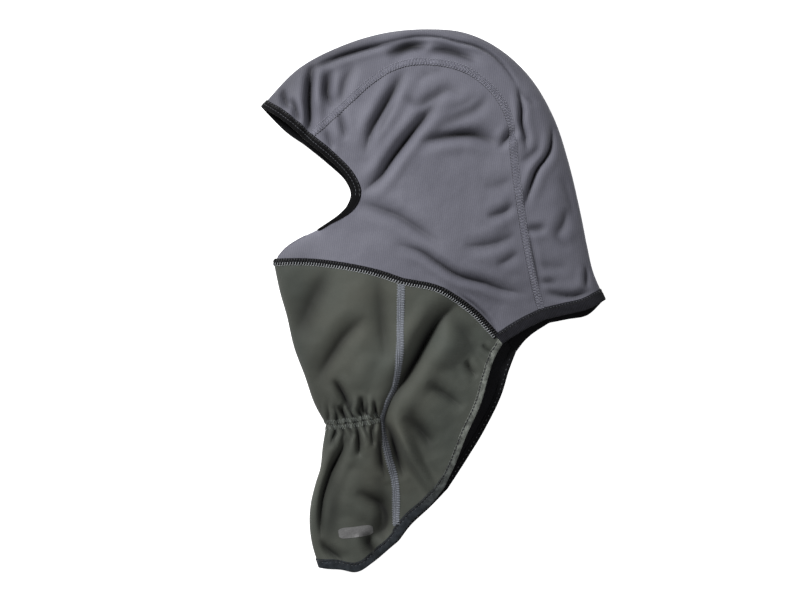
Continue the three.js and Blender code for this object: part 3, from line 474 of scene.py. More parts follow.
class Garment:
    """Every panel's grid of points, welded where panels meet, with faces and smooth normals."""

    def __init__(self, grids):
        self.ids = {}
        every = np.concatenate([grid.reshape(-1, 3) for grid in grids.values()])
        keys = np.round(every * 1000).astype(np.int64)
        _, first, inverse = np.unique(keys, axis=0, return_index=True, return_inverse=True)
        self.points = every[first]
        inverse = inverse.reshape(-1)
        start = 0
        quads = []
        for name, grid in grids.items():
            count = grid.shape[0] * grid.shape[1]
            ids = inverse[start:start + count].reshape(grid.shape[:2])
            start += count
            self.ids[name] = ids
            cells = np.stack([ids[:-1, :-1], ids[1:, :-1], ids[1:, 1:], ids[:-1, 1:]], axis=-1)
            facing = self.cell_normals(cells[:, :SAMPLE_COLUMNS].reshape(-1, 4))[:, 2].sum()
            right = facing < 0 if name in LOWER else facing > 0
            quads.append(cells.reshape(-1, 4)[:, ::1 if right else -1])
        self.quads = np.concatenate(quads)
        # painted shade: how far the colour is darkened towards near black in the folds
        self.fold_shade = np.zeros(len(self.points))  # 1 at the bottom of a deep fold, 0 in the open

    def cell_normals(self, cells):
        corner = self.points[cells]
        return np.cross(corner[:, 2] - corner[:, 0], corner[:, 3] - corner[:, 1])

    def normals(self):
        total = np.zeros_like(self.points)
        faces = self.cell_normals(self.quads)
        for corner in range(4):
            np.add.at(total, self.quads[:, corner], faces)
        return unit(total)

    def evened(self, values, rounds):
        """Moves each point's value halfway to the mean of its neighbours' values, so many times."""
        pairs = np.concatenate([self.quads[:, [k, (k + 1) % 4]] for k in range(4)])
        pairs = np.concatenate([pairs, pairs[:, ::-1]])
        amount = np.bincount(pairs[:, 0], minlength=len(values))[:, None]
        for _ in range(rounds):
            total = np.zeros_like(values)
            for axis in range(3):
                total[:, axis] = np.bincount(pairs[:, 0], values[pairs[:, 1], axis], len(values))
            values = values + (total / amount - values) * 0.5
        return values

    def soft_normals(self):
        """Normals that turn slowly, so that the cloth's two faces do not cross in a tight pleat."""
        return unit(self.evened(self.normals(), NORMAL_ROUNDS))


def waves(flat, size, seed):
    """Smooth noise from -1 to 1 over a list of points; size is in millimetres."""
    shift = Vector((seed * 17.3, seed * 5.1, seed * 9.7))
    return np.array([noise.fractal(Vector(point) / size + shift, 1.0, 2.0, 2) for point in flat])


# Creases in the upper layer
def path_frame(points, place):
    """Signed distance to a path (left is positive), share along it, and its left direction."""
    line = smooth_line(points, PATH_SAMPLES)
    along = lengths(line)
    ways = unit(np.gradient(line, axis=0))
    gaps = place[:, None] - line[None]
    squared = (gaps ** 2).sum(-1)
    nearest = squared.argmin(1)
    rows = np.arange(len(place))
    way = ways[nearest]
    left = np.stack([-way[:, 1], way[:, 0]], axis=1)
    gap = gaps[rows, nearest]
    side = (gap * left).sum(1)
    ahead = np.clip((gap * way).sum(1), -PATH_SLACK, PATH_SLACK)
    share = np.clip((along[nearest] + ahead) / along[-1], 0, 1)
    beyond = np.sqrt(np.maximum(squared[rows, nearest] - side ** 2 - ahead ** 2, 0))
    return np.hypot(side, beyond) * np.where(side < 0, -1, 1), share, left


def crease_shape(side, width):
    """A valley's cross-section, deepest at 1: nearly sharp at the bottom, with soft walls."""
    blunt = BLUNT * width
    wall = np.exp(-(np.sqrt(side ** 2 + blunt ** 2) - blunt) / (WALL * width))
    return wall * bell(side, WALL_END * width)


def add_fold(points, fold_shade, path, depth, width, lean):
    """A valley with a low shoulder on each side, and painted shade at its bottom; a negative depth is a
    broad ridge.
    """
    corners = np.array(path, float)
    low, high = corners.min(0) - REACH * width, corners.max(0) + REACH * width
    chosen = np.flatnonzero(np.all((points[:, :2] > low) & (points[:, :2] < high), 1))
    side, share, left = path_frame(path, points[chosen, :2])
    taper = (1 - np.abs(2 * share - 1) ** 2.6) ** 1.6
    off, broad = SHOULDER_PLACE * width, SHOULDER_WIDTH * width
    shoulder = SHOULDER_HEIGHT * (bell(side - off, broad) + bell(side + off, broad))
    valley = bell(side, width) if depth < 0 else crease_shape(side, width)
    points[chosen, 2] += FOLD_GAIN * depth * taper * (shoulder - valley)
    # painted shade: the bottom of a deep valley is darkened in the colour
    if depth > 0:
        dark = min(1.0, depth / DARK_DEPTH) * taper * bell(side, FOLD_SHADE_SHARE * width)
        fold_shade[chosen] = 1 - (1 - fold_shade[chosen]) * (1 - dark)
    overhang = np.sign(lean) * side
    slide = -lean * taper * bell(overhang - LEAN_PLACE * width, LEAN_WIDTH * width)
    points[chosen, :2] += slide[:, None] * left


def pleats(along, beside, pitch, reach, height, phase=0.0):
    return np.sin(along * 2 * math.pi / pitch + phase) * bell(beside, reach) * height


def gather(points, fold_shade):
    """Small pleats where the elastic draws the throat panel in, with painted shade in their hollows."""
    start, end = np.array(WAIST_LINE, float)
    way = (end - start) / math.dist(start, end)
    along = (points[:, :2] - start) @ way
    beside = (points[:, :2] - start) @ np.array([-way[1], way[0]])
    inside = np.clip((math.dist(start, end) - along) / 6, 0, 1)
    wander = 1.6 * np.sin(beside / 5.0) + 0.8 * np.sin(beside / 2.3 + along / 6)
    fine = pleats(along + wander * 0.5, beside, *FINE_PLEATS)
    wide = pleats(along + wander, beside, *WIDE_PLEATS, phase=0.8)
    points[:, 2] += (fine + wide) * inside
    # painted shade in the hollows of the pleats
    pleat_shade = np.clip(-(fine + 0.5 * wide), 0, 1) * inside
    fold_shade[:] = 1 - (1 - fold_shade) * (1 - PLEAT_SHADE * pleat_shade)


def crumple(garment, upper):
    """Shapes the upper layer with its creases, and the lower one with faint waves; works out the painted
    shade of the creases, pleats and rims as well.
    """
    points = garment.points
    away = fold_distance(points[:, :2])
    ease = 1 - bell(away, EASE)
    before = points.copy()
    flat = before * (1, 1, 0)
    shaped = points[upper].copy()
    fold_shade = np.zeros(len(shaped))
    for path, depth, width, lean in FOLDS:
        add_fold(shaped, fold_shade, path, depth, width, lean)
    gather(shaped, fold_shade)
    garment.fold_shade[upper] = fold_shade * ease[upper]
    # painted shade along the rims, where the cloth turns away from the light
    for line, shade, reach in RIMS:
        rim = shade * bell(line_distance(line, before[:, :2]), reach)
        garment.fold_shade = 1 - (1 - garment.fold_shade) * (1 - rim)
    for height, size, seed in UPPER_WAVES:
        shaped[:, 2] += height * waves(flat[upper], size, seed)
    points[upper] = before[upper] + (shaped - before[upper]) * ease[upper, None]
    over = points[upper, 2] - LOWEST_FOLD
    points[upper, 2] = LOWEST_FOLD + SOFT_STOP * np.logaddexp(0, over / SOFT_STOP)
    lower = np.setdiff1d(np.arange(len(points)), upper)
    height, size, seed = LOWER_WAVES
    lift = np.maximum(0, waves(flat[lower], size, seed) + 0.15) * height
    points[lower, 2] += lift * (1 - bell(away[lower], LOWER_EASE))
    garment.points = garment.evened(points, 2)


GRIDS = {
    "hood_side_left": hood_side("upper"),
    "hood_side_right": hood_side("lower"),
    "crown_panel": crown_panel(),
    "chin_panel": chin_panel(),
    "neck_side_left": neck_side("upper"),
    "neck_side_right": neck_side("lower"),
}
LOWER = ["hood_side_right", "neck_side_right"]  # panels that face down

garment = Garment(GRIDS)
upper_ids = np.unique(np.concatenate([
    garment.ids["hood_side_left"].ravel(), garment.ids["neck_side_left"].ravel(),
    garment.ids["crown_panel"][:, :CROWN_HALF_CELLS].ravel(),
    garment.ids["chin_panel"][:, :CHIN_CELLS].ravel(),
]))
crumple(garment, upper_ids)
normals = garment.soft_normals()
cloth_tree = BVHTree.FromPolygons(garment.points.tolist(), garment.quads.tolist())


# Strips of surface beside an edge or along a seam
def nearest_face(place):
    """The garment's nearest point, the corners of the face there, and how near each of them is."""
    near, _, face, _ = cloth_tree.find_nearest(Vector(place))
    corners = garment.quads[face]
    near = np.array(near)
    return near, corners, 1 / (np.linalg.norm(garment.points[corners] - near, axis=1) + 0.05) ** 2


def snap(place):
    """The nearest point of the garment and its smooth outward normal there."""
    near, corners, nearness = nearest_face(place)
    out = (normals[corners] * nearness[:, None]).sum(0)
    return near, out / np.linalg.norm(out)


def fold_shade_at(place):
    """How deep inside a fold the nearest point of the garment lies, as the painted shade there."""
    _, corners, nearness = nearest_face(place)
    return (garment.fold_shade[corners] * nearness).sum() / nearness.sum()


def smoothed_run(values, rounds, loop):
    for _ in range(rounds):
        if loop:
            values = (np.roll(values, 1, 0) + 2 * values + np.roll(values, -1, 0)) / 4
        else:
            values[1:-1] = (values[:-2] + 2 * values[1:-1] + values[2:]) / 4
    return values


class Strip:
    """Surface places beside a run of welded points, found by (along, side, up) in millimetres.

    Beside a raw edge the positive sides run into the cloth, and past the edge they run straight.
    """

    def __init__(self, run, sides, inward=None, edge=False, loop=False, turn=1, smoothing=6):
        self.edge, self.loop = edge, loop
        if loop:
            run, inward = run[:-1], inward[:-1]
        base = garment.points[run]
        out = unit(smoothed_run(normals[run].copy(), smoothing, loop))
        way = self.ways(base)
        across = unit(np.cross(out, way)) * turn
        if inward is not None:
            guided = np.linalg.norm(inward, axis=1) > 0
            across[guided] = unit(inward[guided])
        across = unit(smoothed_run(across, smoothing, loop))
        self.sides = np.array(sides, float)
        self.places = np.zeros((len(sides), len(run), 3))
        self.outs = np.zeros_like(self.places)
        start = int(np.argmin(np.abs(self.sides)))
        self.places[start], self.outs[start] = base, out
        for order in (range(start + 1, len(sides)), range(start - 1, -1, -1)):
            self.march(order, base, out, across)
        if loop:
            self.places = np.concatenate([self.places, self.places[:, :1]], axis=1)
            self.outs = np.concatenate([self.outs, self.outs[:, :1]], axis=1)
        self.along = lengths(self.places[start])
        self.length = self.along[-1]

    def ways(self, base):
        if self.loop:
            return unit(np.roll(base, -1, 0) - np.roll(base, 1, 0))
        return unit(np.gradient(base, axis=0))

    def march(self, order, base, out, across):
        place, normal, way = base.copy(), out.copy(), across.copy()
        last = 0.0
        for column in order:
            step = self.sides[column] - last
            last = self.sides[column]
            place = place + way * step
            if last > 0 or not self.edge:
                for k, spot in enumerate(place):
                    place[k], normal[k] = snap(spot)
            way = unit(way - (way * normal).sum(1, keepdims=True) * normal)
            self.places[column], self.outs[column] = place, normal

    def at(self, along, side, up):
        """Places for equal-sized arrays of strip coordinates, and the outward normals there."""
        along, side, up = np.broadcast_arrays(np.asarray(along, float), side, up)
        along = along % self.length if self.loop else np.clip(along, 0, self.length)
        row = np.clip(np.searchsorted(self.along, along, "right") - 1, 0, len(self.along) - 2)
        column = np.clip(np.searchsorted(self.sides, side, "right") - 1, 0, len(self.sides) - 2)
        x = (along - self.along[row]) / np.maximum(self.along[row + 1] - self.along[row], 1e-9)
        y = (side - self.sides[column]) / (self.sides[column + 1] - self.sides[column])
        x, y = x[..., None], y[..., None]

        def mixed(table):
            low = table[column, row] * (1 - x) + table[column, row + 1] * x
            high = table[column + 1, row] * (1 - x) + table[column + 1, row + 1] * x
            return low * (1 - y) + high * y

        out = unit(mixed(self.outs))
        return mixed(self.places) + out * up[..., None], out


# Mesh building
DRAWING_ORIGIN = (0.37, -1.44, 0.0)  # in the row frame, whose origin is under the box's middle
SHARP_ANGLE = 60


def to_frame(points):
    return (points + DRAWING_ORIGIN) / 1000


class Shape:
    """Points and faces that one piece is made of. ink is the material of the faces added next."""

    def __init__(self):
        self.points = []
        self.faces = []
        self.weave = []
        self.inks = []
        self.ink = 0
        self.count = 0

    def add(self, points, faces, weave=None):
        points = np.asarray(points).reshape(-1, 3)
        if volume(points, faces) < 0:
            faces = [face[::-1] for face in faces]
        self.points.append(points)
        self.faces.extend([[corner + self.count for corner in face] for face in faces])
        self.inks.extend([self.ink] * len(faces))
        self.weave.append(np.zeros((len(points), 2)) if weave is None else np.reshape(weave, (-1, 2)))
        self.count += len(points)
        return self


def volume(points, faces):
    total = 0.0
    for size in {len(face) for face in faces}:
        corners = points[np.array([face for face in faces if len(face) == size])]
        for k in range(1, size - 1):
            total += (corners[:, 0] * np.cross(corners[:, k], corners[:, k + 1])).sum()
    return total


def build(name, shape, materials, fold_shade=None):
    """A mesh piece that replaces the CAD node of its name and rides on the garment's one body."""
    mesh = bpy.data.meshes.new(name)
    mesh.from_pydata(to_frame(np.concatenate(shape.points)).tolist(), [], shape.faces)
    mesh.update()
    for material in materials:
        mesh.materials.append(material)
    mesh.polygons.foreach_set("material_index", np.array(shape.inks, np.int32))
    mesh.polygons.foreach_set("use_smooth", np.full(len(mesh.polygons), True))
    mesh.set_sharp_from_angle(angle=math.radians(SHARP_ANGLE))
    corner_points = np.zeros(len(mesh.loops), np.int32)
    mesh.loops.foreach_get("vertex_index", corner_points)
    layer = mesh.uv_layers.new(name="Weave")
    layer.data.foreach_set("uv", np.concatenate(shape.weave)[corner_points].astype(np.float32).ravel())
    # painted shade of the folds, by which each material darkens its colour
    fold = mesh.attributes.new("painted_fold_shade", "FLOAT", "POINT")
    if fold_shade is None:
        fold_shade = [fold_shade_at(place) for place in np.concatenate(shape.points)]
    fold.data.foreach_set("value", np.array(fold_shade, np.float32))
    piece = bpy.data.objects.new(name, mesh)
    bpy.context.scene.collection.objects.link(piece)
    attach(piece, "root")
    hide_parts(name)
    return piece


def grid_faces(rows, columns, wrap=False):
    """Quads over a grid of points that is stored row by row."""
    last = columns if wrap else columns - 1
    return [[i * columns + j, (i + 1) * columns + j, (i + 1) * columns + (j + 1) % columns,
             i * columns + (j + 1) % columns] for i in range(rows - 1) for j in range(last)]


def tube_faces(rings, sides, loop=False):
    """Faces round a row of rings, which is closed by its two ends or into a loop."""
    faces = grid_faces(rings, sides, wrap=True)
    last = (rings - 1) * sides
    if loop:
        return faces + [[last + j, j, (j + 1) % sides, last + (j + 1) % sides] for j in range(sides)]
    return faces + [list(range(sides))[::-1], [last + j for j in range(sides)]]


def sheet_faces(rows, columns):
    """Faces of a closed sheet whose outer grid of points comes first: outer, inner and edge."""
    count = rows * columns
    outer = grid_faces(rows, columns)
    inner = [[corner + count for corner in face[::-1]] for face in outer]
    order = np.arange(count).reshape(rows, columns)
    rim = np.concatenate([order[:-1, 0], order[-1, :-1], order[:0:-1, -1], order[0, :0:-1]])
    edge = [[a, a + count, b + count, b] for a, b in zip(rim.tolist(), np.roll(rim, -1).tolist())]
    return outer, inner, edge


# Cloth panels
def slid_in(rows, amount):
    """Slides the first row in along the cloth, and the rows behind it less and less, so none cross."""
    steps = np.linalg.norm(np.diff(rows[..., :3], axis=0), axis=2)
    reach = SLIDE_REACH * amount
    moved = rows.copy()
    for column in range(rows.shape[1]):
        along = np.concatenate([[0], np.cumsum(steps[:, column])])
        wanted = along + amount * np.clip(1 - along / max(reach, 1e-9), 0, 1)
        for value in range(rows.shape[2]):
            moved[:, column, value] = np.interp(wanted, along, rows[:, column, value])
    return moved


def drawn_in(grid, amounts):
    """Slides each side of a grid in by its amount: south, east, north and west."""
    south, east, north, west = amounts
    moved = slid_in(grid, west)
    moved = slid_in(moved[::-1], east)[::-1]
    moved = slid_in(moved.swapaxes(0, 1), south).swapaxes(0, 1)
    return slid_in(moved[:, ::-1].swapaxes(0, 1), north).swapaxes(0, 1)[:, ::-1]


def cloth_piece(name, thickness, materials, slot, amounts):
    ids = garment.ids[name]
    rows, columns = ids.shape
    whole = np.concatenate([garment.points[ids], normals[ids], garment.fold_shade[ids][..., None]], axis=-1)
    moved = drawn_in(whole, amounts)
    points, fold_shade = moved[..., :3], moved[..., 6]
    half = unit(moved[..., 3:6]) * thickness / 2
    outer, inner, edge = sheet_faces(rows, columns)
    weave = np.stack(np.meshgrid(np.arange(rows), np.arange(columns), indexing="ij"), -1)
    both = np.concatenate([(points + half).reshape(-1, 3), (points - half).reshape(-1, 3)])
    shape = Shape().add(both, outer + inner + edge, np.concatenate([weave.reshape(-1, 2)] * 2))
    shape.inks = [0] * len(outer) + [1] * (len(inner) + len(edge))
    return build(name, shape, materials, np.tile(fold_shade.ravel(), 2))


# Solids swept along a strip; a span is the two distances along it where something starts and ends
SWEEP_STEP = 1.2
THREAD_TIP = 0.45  # radius of a thread's ends, as a share of its own
STITCH_ARCH = 0.12
RUNG_ARCH = 0.15
ZIGZAG_STEPS = 6  # points on each turn of a zigzag


def whole_of(strip, margin=0.0):
    return margin, strip.length - margin


def swept(strip, profile_of, span):
    """A closed section, (side, up) for each distance along, swept down a strip."""
    whole = strip.loop
    count = max(2, int(round((span[1] - span[0]) / SWEEP_STEP)) + 1)
    along = np.linspace(*span, count)
    section = np.stack([np.array(profile_of(place), float) for place in along])
    if whole:
        along, section = along[:-1], section[:-1]
    points, _ = strip.at(along[:, None], section[..., 0], section[..., 1])
    faces = tube_faces(*section.shape[:2], whole)
    weave = np.stack(np.broadcast_arrays(along[:, None], lengths(section[0])[None]), -1)
    return Shape().add(points, faces, weave)


def line_inner_leg(shape, count):
    """Gives a binding's inner leg its second material; count is the section's number of points."""
    for k in range(len(shape.faces)):
        if len(shape.faces[k]) == 4 and min(corner % count for corner in shape.faces[k]) > count // 2:
            shape.inks[k] = 1
    return shape


def threads(shape, strip, along, side, up, radius, sides=6):
    """Threads of one length, a row of strip coordinates for each, with ends that taper in."""
    points, outs = strip.at(along, side, up)
    way = unit(np.gradient(points, axis=1))
    top = unit(outs - (outs * way).sum(-1, keepdims=True) * way)
    beside = np.cross(way, top)
    turn = np.arange(sides) * 2 * math.pi / sides
    count, length = points.shape[:2]
    thick = np.full(length, radius)
    thick[[0, -1]] *= THREAD_TIP
    ring = (np.cos(turn)[:, None] * top[:, :, None] + np.sin(turn)[:, None] * beside[:, :, None])
    skin = points[:, :, None] + ring * thick[:, None, None]
    one = tube_faces(length, sides)
    block = length * sides
    faces = [[corner + k * block for corner in face] for k in range(count) for face in one]
    return shape.add(skin, faces)


def stitch_row(shape, strip, span, side, up, pitch, share, radius):
    """Short straight stitches in line along a strip, each a share of the pitch long."""
    first = np.arange(span[0], span[1] - pitch, pitch)[:, None]
    along = np.linspace(0, 1, 4)[None]
    bow = STITCH_ARCH * np.sin(along * math.pi)
    return threads(shape, strip, first + along * pitch * share, side, up + bow, radius)


def rungs(shape, strip, span, sides, up, pitch, slant, radius):
    """Threads across a seam, side by side like the rungs of a ladder."""
    first = np.arange(*span, pitch)[:, None]
    share = np.linspace(0, 1, 5)[None]
    across = sides[0] + (sides[1] - sides[0]) * share
    bow = RUNG_ARCH * np.sin(share * math.pi)
    return threads(shape, strip, first + slant * share, across, up + bow, radius)


def zigzag(shape, strip, span, sides, up, pitch, radius):
    """One looper thread that runs to and fro across a seam."""
    turn = np.arange(int((span[1] - span[0]) / pitch * ZIGZAG_STEPS))
    along = span[0] + turn * pitch / ZIGZAG_STEPS
    swing = np.clip(1.3 * np.cos(turn * 2 * math.pi / ZIGZAG_STEPS), -1, 1)
    across = (sides[0] + sides[1]) / 2 + swing * (sides[1] - sides[0]) / 2
    return threads(shape, strip, along[None], across[None], up, radius, sides=5)


# Runs of points along the edges and seams
GUIDE_CELLS = 6  # how far in the point lies that an edge's sides run towards
SEAM_SIDES = list(range(-5, 6))
SIDES = ("left", "right")
ids = garment.ids


def edge_sides(reach):
    return [-1.5, *range(reach + 1)]


def run_of(*parts):
    """Joins lists of points end to end, each with its list of points further in or None."""
    run, inward = [], []
    for line, further in parts:
        if further is None:
            guide = np.zeros((len(line), 3))
        else:
            guide = garment.points[further] - garment.points[line]
        if run:
            if not inward[-1].any():
                inward[-1] = guide[0]
            line, guide = line[1:], guide[1:]
        run.extend(line)
        inward.extend(guide)
    return np.array(run), np.array(inward)


def jaw_guides(inward):
    """The two ends of a binding follow the jaw seam, where it meets the other binding."""
    for end, side in zip((0, -1), SIDES):
        jaw = ids[f"hood_side_{side}"][:, 0]
        inward[end] = garment.points[jaw[-GUIDE_CELLS]] - garment.points[jaw[-1]]
    return inward


def face_strip():
    left, right = ids["hood_side_left"], ids["hood_side_right"]
    crown = ids["crown_panel"]
    run, inward = run_of(
        (left[0, NOSE_CELLS:], None),
        (crown[0], crown[GUIDE_CELLS]),
        (right[0, NOSE_CELLS:][::-1], None),
    )
    return Strip(run, edge_sides(10), inward, edge=True, loop=True, turn=-1)


def nape_strip():
    left, right = ids["hood_side_left"], ids["hood_side_right"]
    crown = ids["crown_panel"]
    run, inward = run_of(
        (left[-1], None),
        (crown[-1], crown[-1 - GUIDE_CELLS]),
        (right[-1][::-1], None),
    )
    return Strip(run, edge_sides(12), jaw_guides(inward), edge=True)


def hem_strip():
    left, right = ids["neck_side_left"], ids["neck_side_right"]
    chin = ids["chin_panel"]
    run, inward = run_of(
        (left[-1], None),
        (left[::-1, -1], None),
        (chin[-1], chin[-1 - GUIDE_CELLS]),
        (right[:, -1], None),
        (right[-1][::-1], None),
    )
    return Strip(run, edge_sides(10), jaw_guides(inward), edge=True, turn=-1, smoothing=40)


def side_seam_strip(side, points):
    """Along a seam of the left or the right; its positive sides are the same on both."""
    return Strip(points, SEAM_SIDES, turn=1 if side == "left" else -1)


def chin_seam_strip():
    run, _ = run_of((ids["hood_side_left"][::-1, 0], None), (ids["hood_side_right"][:, 0], None))
    return Strip(run, SEAM_SIDES)


def throat_strip():
    return Strip(ids["chin_panel"][THROAT_CELLS, 2:-2], SEAM_SIDES, smoothing=2)


def elastic_strip():
    """The throat's line without its pleats, since the cloth is gathered onto a smooth band."""
    strip = throat_strip()
    for table in (strip.places, strip.outs):
        for line in table:
            line[:] = smoothed_run(line, rounds=60, loop=False)
    strip.outs = unit(strip.outs)
    return strip


# Materials
def linear(colour):
    """A display colour, 0 to 255, as the linear colour that a shader takes."""
    shares = [channel / 255 for channel in colour]
    return (*[s / 12.92 if s <= 0.04045 else ((s + 0.055) / 1.055) ** 2.4 for s in shares], 1.0)


DEEP_SHADE = (9, 9, 11)
COLOUR_A, COLOUR_B, COLOUR_OUT = 6, 7, 2  # the mix node's colour sockets; their names are not unique


class Finish:
    """A procedural material, with short calls that add its nodes. Sizes are in millimetres."""

    def __init__(self, name, roughness, specular, sheen=0.0):
        self.material = bpy.data.materials.new(name)
        self.material.use_nodes = True
        self.tree = self.material.node_tree
        self.shader = self.tree.nodes["Principled BSDF"]
        self.shader.inputs["Roughness"].default_value = roughness
        self.shader.inputs["Specular IOR Level"].default_value = specular
        self.shader.inputs["Sheen Weight"].default_value = sheen
        place = self.node("ShaderNodeTexCoord").outputs["Object"]
        self.place = self.scaled(place, (1000, 1000, 1000))
        weave = self.node("ShaderNodeUVMap")
        weave.uv_map = "Weave"
        self.weave = weave.outputs["UV"]

    def node(self, kind):
        return self.tree.nodes.new(kind)

    def link(self, output, socket):
        self.tree.links.new(output, socket)

    def scaled(self, vector, scale, turn=0.0):
        mapping = self.node("ShaderNodeMapping")
        mapping.inputs["Scale"].default_value = scale
        mapping.inputs["Rotation"].default_value = (0, 0, turn)
        self.link(vector, mapping.inputs["Vector"])
        return mapping.outputs["Vector"]

    def noise(self, size, detail=2, vector=None):
        texture = self.node("ShaderNodeTexNoise")
        texture.inputs["Scale"].default_value = 1 / size
        texture.inputs["Detail"].default_value = detail
        self.link(vector or self.place, texture.inputs["Vector"])
        return texture.outputs["Fac"]

    def bands(self, period, axis="X", vector=None, distortion=0.0, distortion_size=1.0):
        """Waves in bands; at scale 1 the texture's own wave is 2 pi / 20 long."""
        texture = self.node("ShaderNodeTexWave")
        texture.bands_direction = axis
        texture.inputs["Scale"].default_value = 2 * math.pi / 20 / period
        texture.inputs["Distortion"].default_value = distortion
        texture.inputs["Detail Scale"].default_value = 1 / distortion_size
        self.link(vector or self.place, texture.inputs["Vector"])
        return texture.outputs["Fac"]

    def dots(self, size):
        texture = self.node("ShaderNodeTexVoronoi")
        texture.inputs["Scale"].default_value = 1 / size
        self.link(self.place, texture.inputs["Vector"])
        return texture.outputs["Distance"]

    def sum(self, *parts):
        """0.5 plus each texture's distance from its middle, times its weight."""
        total = None
        for texture, weight in parts:
            step = self.node("ShaderNodeMath")
            step.operation = "MULTIPLY_ADD"
            self.link(texture, step.inputs[0])
            step.inputs[1].default_value = weight
            if total is None:
                step.inputs[2].default_value = 0.5 - sum(share for _, share in parts) / 2
            else:
                self.link(total, step.inputs[2])
            total = step.outputs[0]
        return total

    def ramp(self, value, *stops):
        """Colours at places from 0 to 1 along a value."""
        ramp = self.node("ShaderNodeValToRGB")
        self.link(value, ramp.inputs["Fac"])
        elements = ramp.color_ramp.elements
        while len(elements) < len(stops):
            elements.new(0.5)
        for element, (place, colour) in zip(elements, stops):
            element.position = place
            element.color = linear(colour)
        return ramp.outputs["Color"]

    def mixed(self, share, first, second=None):
        """Goes from the first colour to the second, which is DEEP_SHADE where none is given."""
        mix = self.node("ShaderNodeMix")
        mix.data_type = "RGBA"
        self.link(share, mix.inputs["Factor"])
        self.link(first, mix.inputs[COLOUR_A])
        if second is None:
            mix.inputs[COLOUR_B].default_value = linear(DEEP_SHADE)
        else:
            self.link(second, mix.inputs[COLOUR_B])
        return mix.outputs[COLOUR_OUT]

    def paint(self, colour):
        """The colour with painted shade: it goes to near black where the cloth lies deep inside a fold.
        """
        fold = self.node("ShaderNodeAttribute")
        fold.attribute_name = "painted_fold_shade"
        self.link(self.mixed(fold.outputs["Fac"], colour), self.shader.inputs["Base Color"])

    def relief(self, height, millimetres, strength):
        bump = self.node("ShaderNodeBump")
        bump.inputs["Strength"].default_value = strength
        bump.inputs["Distance"].default_value = millimetres / 1000
        self.link(height, bump.inputs["Height"])
        self.link(bump.outputs["Normal"], self.shader.inputs["Normal"])


def jersey_finish():
    """Thin stretch knit: fine upright wales, heathered yarn and a soft sheen."""
    finish = Finish("jersey", roughness=0.66, specular=0.2, sheen=0.05)
    tilted = finish.scaled(finish.place, (1, 1, 1), 0.12)
    wales = finish.bands(1.7, "X", tilted, distortion=1.6, distortion_size=14)
    yarn = finish.noise(0.45, 2, finish.scaled(finish.place, (1, 0.45, 1)))
    cloudy = finish.noise(38)
    courses = finish.bands(0.9, "Y", tilted, distortion=1.0, distortion_size=6)
    tone = finish.sum((wales, 0.2), (yarn, 0.55), (cloudy, 0.5))
    finish.paint(finish.ramp(tone, (0.1, (81, 81, 91)), (0.5, (97, 97, 107)), (0.9, (113, 113, 123))))
    finish.relief(finish.sum((wales, 0.5), (courses, 0.25), (yarn, 0.5)), 0.15, 0.7)
    return finish.material


def softshell_finish():
    """Bonded softshell: a smooth, slightly brushed face, olive grey with a cooler drift."""
    finish = Finish("softshell", roughness=0.68, specular=0.16, sheen=0.03)
    grain = finish.noise(0.55, 3)
    twill = finish.bands(0.7, "DIAGONAL", distortion=2.0, distortion_size=3)
    drift = finish.noise(60)
    tone = finish.sum((grain, 0.6), (twill, 0.12))
    warm = finish.ramp(tone, (0.2, (66, 67, 61)), (0.8, (81, 82, 75)))
    cool = finish.ramp(tone, (0.2, (62, 66, 62)), (0.8, (77, 82, 77)))
    share = finish.ramp(drift, (0.25, (0, 0, 0)), (0.75, (255, 255, 255)))
    finish.paint(finish.mixed(share, warm, cool))
    finish.relief(finish.sum((grain, 0.8), (twill, 0.25)), 0.08, 0.5)
    return finish.material


def fleece_finish():
    """The black brushed inside of the cloth."""
    finish = Finish("fleece_lining", roughness=0.95, specular=0.1, sheen=0.12)
    pile = finish.noise(0.8, 3)
    finish.paint(finish.ramp(pile, (0.3, (14, 14, 16)), (0.7, (28, 28, 31))))
    finish.relief(pile, 0.5, 0.7)
    return finish.material


def tape_finish(name, dark, light, rib=0.9, depth=0.14, sheen=0.02):
    """Folded knitted tape with fine ribs across it."""
    finish = Finish(name, roughness=0.85, specular=0.12, sheen=sheen)
    ribs = finish.bands(rib, "X", finish.weave, distortion=0.6, distortion_size=2)
    lines = finish.bands(rib * 0.8, "Y", finish.weave)
    worn = finish.noise(5, 3)
    tone = finish.sum((ribs, 0.45), (lines, 0.15), (worn, 0.6))
    finish.paint(finish.ramp(tone, (0.15, dark), (0.85, light)))
    finish.relief(finish.sum((ribs, 0.8), (lines, 0.3)), depth, 0.8)
    return finish.material


HEM_TURN_START = -174  # this far up the garment the hem starts to turn from slate to olive
HEM_TURN = 60  # over this distance


def hem_finish():
    """The neck hem: olive grey on the side of the neck, dark slate round the flap."""
    finish = Finish("hem_band", roughness=0.8, specular=0.15, sheen=0.03)
    ribs = finish.bands(0.9, "X", finish.weave, distortion=0.6, distortion_size=2)
    worn = finish.noise(5, 3)
    tone = finish.sum((ribs, 0.4), (worn, 1.3))
    olive = finish.ramp(tone, (0.2, (50, 52, 49)), (0.8, (128, 132, 126)))
    slate = finish.ramp(tone, (0.15, (14, 17, 20)), (0.85, (50, 55, 60)))
    down = finish.scaled(finish.place, (0, 1 / HEM_TURN, 0))
    height = finish.node("ShaderNodeSeparateXYZ")
    finish.link(down, height.inputs["Vector"])
    shift = finish.node("ShaderNodeMath")
    shift.inputs[1].default_value = -HEM_TURN_START / HEM_TURN
    finish.link(height.outputs["Y"], shift.inputs[0])
    share = finish.ramp(shift.outputs[0], (0.0, (0, 0, 0)), (1.0, (255, 255, 255)))
    finish.paint(finish.mixed(share, slate, olive))
    finish.relief(ribs, 0.12, 0.8)
    return finish.material


def thread_finish(name, dark, light):
    """Spun thread: a soft gloss and a slight change of tone along it."""
    finish = Finish(name, roughness=0.55, specular=0.35, sheen=0.1)
    twist = finish.noise(0.8)
    finish.paint(finish.ramp(twist, (0.3, dark), (0.7, light)))
    finish.relief(twist, 0.05, 0.6)
    return finish.material


